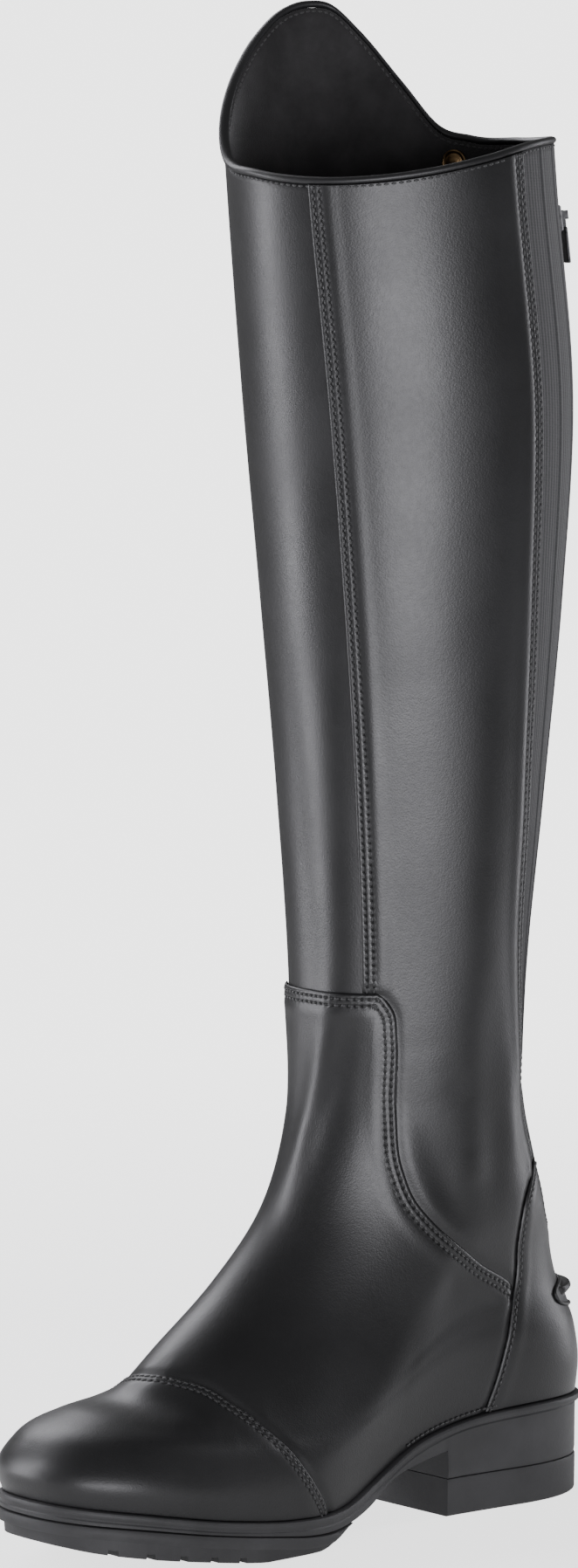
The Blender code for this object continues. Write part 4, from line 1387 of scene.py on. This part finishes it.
def layered(name, node, angles, layers, material, angle=32):
    """A sole piece through stations along the foot; layers(t) gives (distance out, height), top first."""
    rows = [layers(t) for t in angles]
    t = np.array(angles, float)
    count = len(rows[0])
    loops = []
    for side in (1, -1):
        for n in range(count):
            out = np.array([row[n][0] for row in rows])
            height = np.array([row[n][1] for row in rows])
            x, y = outline(side * t, out)
            loops.append(np.stack([x, y, height], -1))
    ring = loops[:count] + loops[count:][::-1]
    bm = grid_mesh(np.stack(ring + ring[:1], 1), weld=True)
    bmesh.ops.holes_fill(bm, edges=[e for e in bm.edges if e.is_boundary], sides=0)
    bmesh.ops.recalc_face_normals(bm, faces=bm.faces)
    mesh_object(name, bm, material, nodes=(node,), angle=angle)


class BOOT_OT_sole(bpy.types.Operator):
    """Make the sole unit, the tread and the heel lift, and finish the insole"""
    bl_idname = "boot.sole"
    bl_label = "Sole"

    def execute(self, context):
        side_rubber = rubber("rubber_side")
        tread_rubber = rubber("rubber_tread", TREAD_ROUGH, 1200.0)
        breast = float(angle_of(HEEL_BREAST))
        length = SECTIONS[0][3] - SECTIONS[0][2]

        def feather(t):
            return float(curve(fraction(t), FEATHER_LINE))

        def rand_low(t):
            f = fraction(t)
            return HEEL_SPLIT if f > HEEL_BREAST else float(curve(f, RAND_LOW))

        def side_wall(t):
            top, low = feather(t), rand_low(t)
            heel = float(ease((fraction(t) - HEEL_BREAST + 0.06) / 0.1))
            waist = RAND_OUT - 1.4 * heel
            rows = [(out, top + rise) for out, rise in RAND_BEAD]
            rows += [(waist + out, top + rise) for out, rise in RAND_STEP]
            for share in (0.2, 0.45, 0.7, 0.9):
                height = top - STEP_DROP + share * (low - top + STEP_DROP)
                rows.append((waist - 0.2 * heel * share, height))
            rows += [(waist - 0.25 - 0.2 * heel, low + 0.25), (waist - 0.6, low)]
            return rows

        front = list(np.linspace(0, breast - 1, 90))
        heel = [breast + 0.05] + list(np.linspace(breast + 1, 180, 70))
        layered("sole_sides", "sole_unit", front + [breast - 0.05] + heel, side_wall, side_rubber)

        def in_groove(f):
            return any(abs(f - at) < GROOVE_HALF / length for at in LUG_GROOVES)

        def tread(t):
            f = float(fraction(t))
            top = rand_low(t) - 0.3
            low = max(float(curve(f, TREAD_LOW)), 0.0)
            end = float(ease((f - TREAD_FADE) / (TREAD_END - TREAD_FADE)))
            rim = min(4.2, 0.6 * (top - low)) * (1 - 0.6 * end)
            if in_groove(f):
                low = min(low + GROOVE_DEPTH, top - rim - 0.5)
            low += (top - rim - 0.7 - low) * end
            out = WELT_OUT - 1.7 * end
            return ((out - 1.2, top), (out - 0.5, top - 0.15), (out - 0.1, top - 0.2 * rim),
                    (out, top - 0.45 * rim), (out - 0.2, top - 0.8 * rim), (out - 0.8, top - rim),
                    (1.9, top - rim - 0.1), (1.6, top - rim - 0.25), (1.3, low + 0.35), (0.9, low))

        grooves = []
        for at in LUG_GROOVES:
            for side in (-GROOVE_HALF, GROOVE_HALF):
                mark = at + side / length
                grooves += [float(angle_of(mark - GROOVE_WALL)), float(angle_of(mark + GROOVE_WALL))]
        stations = sorted(list(np.linspace(0, float(angle_of(TREAD_END)), 80)) + grooves)
        layered("tread", "outsole", stations, tread, tread_rubber)

        layered("heel_block", "heel_lift", heel, lambda t: LIFT_ROWS, tread_rubber)
        sock = woven("insole_felt", context.scene.boot_colours.lining, 900.0, 0.9, 0.5)
        finish_node("insole", sock)
        return {"FINISHED"}


class BOOT_OT_spur_rest(bpy.types.Operator):
    """Make the sewn spur rest on the back of the counter"""
    bl_idname = "boot.spur_rest"
    bl_label = "Spur rest"

    def execute(self, context):
        counter = context.scene.boot_sizes.counter_skin / MM
        a = np.sin(np.linspace(-1, 1, 121) * math.pi / 2)
        b = np.linspace(-1, 1, 45)
        across, up = np.meshgrid(a, b)
        half = SPUR_HEIGHT / 2 * np.maximum(0.0, 1 - np.abs(across) ** SPUR_P) ** (1 / SPUR_P)
        z = SPUR_Z + up * half
        v = level_at(np.full(z.shape, 180.0), z)
        t = strip_edge(v, -across * SPUR_HALF)
        rim = np.minimum((1 - np.abs(up)) * np.maximum(half, 0.3), (1 - np.abs(across)) * SPUR_HALF)
        sunk = ease((rim - 0.9) / 0.7)
        rise = (z - SPUR_Z - LEDGE_RISE) / 1.5
        ledge = np.exp(-rise ** 4) * np.sqrt(np.maximum(0.0, 1 - (across / LEDGE_SHARE) ** 2)) ** 0.8
        out = counter + 0.15 + 1.1 * rolled(rim / 0.7) - 0.75 * sunk + LEDGE_OUT * ledge
        bm = grid_mesh(skin(t, v, out), weld=True)
        thing = mesh_object("spur_patch", bm, trim_leather(), nodes=("spur_rest",))
        thicken(thing, 0.3)
        return {"FINISHED"}


class BOOT_OT_stage(bpy.types.Operator):
    """Set the floor, the lights and the camera"""
    bl_idname = "boot.stage"
    bl_label = "Stage"

    def execute(self, context):
        scene = context.scene
        bm = bmesh.new()
        bmesh.ops.create_circle(bm, cap_ends=True, segments=96, radius=FLOOR_RADIUS)
        mesh = bpy.data.meshes.new("floor")
        bm.to_mesh(mesh)
        bm.free()
        floor = bpy.data.objects.new("floor", mesh)
        scene.collection.objects.link(floor)
        material, tree, shader = nodes_of("floor_white")
        where = object_coordinate(tree)
        tint = range_node(tree, noise_node(tree, where, 3.0), 0.3, 0.7)
        reach = add(tree, "VectorMath", "Value", {0: where}, operation="LENGTH")
        put(tree, shader, {
            "Base Color": mix_colour(tree, tint, *FLOOR_TINTS), "Roughness": 0.9, "Specular IOR Level": 0.1,
            "Emission Color": (1, 1, 1, 1), "Emission Strength": light_path(tree, *FLOOR_GLOW),
            "Alpha": range_node(tree, reach, *FLOOR_FADE, 1.0, 0.0)})
        mesh.materials.append(material)
        world = bpy.data.worlds.new("studio")
        scene.world = world
        world.use_nodes = True
        tree = world.node_tree
        put(tree, tree.nodes["Background"], {
            "Strength": light_path(tree, *WORLD_GLOW), "Color": (1, 1, 1, 1)})
        for name, turn, far, height, size, power in LIGHTS:
            lamp = bpy.data.lights.new(name, "AREA")
            lamp.shape = "RECTANGLE"
            lamp.size, lamp.size_y = size
            lamp.energy = power
            lamp.color = LIGHT_TINT
            thing = bpy.data.objects.new(name, lamp)
            angle = math.atan2(EYE[1], EYE[0]) + math.radians(turn)
            at = Vector((far * math.cos(angle), far * math.sin(angle), height))
            thing.location = at
            thing.rotation_euler = (LIGHT_AIM - at).to_track_quat("-Z", "Y").to_euler()
            scene.collection.objects.link(thing)
        camera = bpy.data.cameras.new("camera")
        camera.sensor_width = SENSOR
        camera.lens = SENSOR * FOCAL_SHARE
        camera.clip_end = 50
        eye = bpy.data.objects.new("camera", camera)
        eye.location = EYE
        aim = -EYE_BACK - EYE_RIGHT * EYE_OFF[0] + EYE_UP * EYE_OFF[1]
        turn = aim.to_track_quat("-Z", "Y") @ Quaternion((0, 0, 1), math.radians(EYE_ROLL))
        eye.rotation_euler = turn.to_euler()
        scene.collection.objects.link(eye)
        scene.camera = eye
        return {"FINISHED"}


PIECES = (BOOT_OT_upper, BOOT_OT_leg_panels, BOOT_OT_foot_panels, BOOT_OT_stitches, BOOT_OT_zip,
          BOOT_OT_collar, BOOT_OT_sole, BOOT_OT_spur_rest, BOOT_OT_stage)


class BOOT_PT_dressing(bpy.types.Panel):
    """Lists the boot's pieces and their sizes"""
    bl_idname = "BOOT_PT_dressing"
    bl_label = "Riding boot"
    bl_space_type = "VIEW_3D"
    bl_region_type = "UI"
    bl_category = "Boot"

    def draw(self, context):
        for piece in PIECES:
            self.layout.operator(piece.bl_idname)
        for group in (context.scene.boot_sizes, context.scene.boot_colours):
            for name in group.__annotations__:
                self.layout.prop(group, name)


CLASSES = (BootSizes, BootColours) + PIECES + (BOOT_PT_dressing,)


def register():
    for cls in CLASSES:
        bpy.utils.register_class(cls)
    bpy.types.Scene.boot_sizes = bpy.props.PointerProperty(type=BootSizes)
    bpy.types.Scene.boot_colours = bpy.props.PointerProperty(type=BootColours)


def unregister():
    del bpy.types.Scene.boot_colours
    del bpy.types.Scene.boot_sizes
    for cls in reversed(CLASSES):
        bpy.utils.unregister_class(cls)


def main():
    register()
    bpy.ops.boot.upper()
    bpy.ops.boot.leg_panels()
    bpy.ops.boot.foot_panels()
    bpy.ops.boot.stitches()
    bpy.ops.boot.zip()
    bpy.ops.boot.collar()
    bpy.ops.boot.sole()
    bpy.ops.boot.spur_rest()
    bpy.ops.boot.stage()


if __name__ == "__main__":
    main()
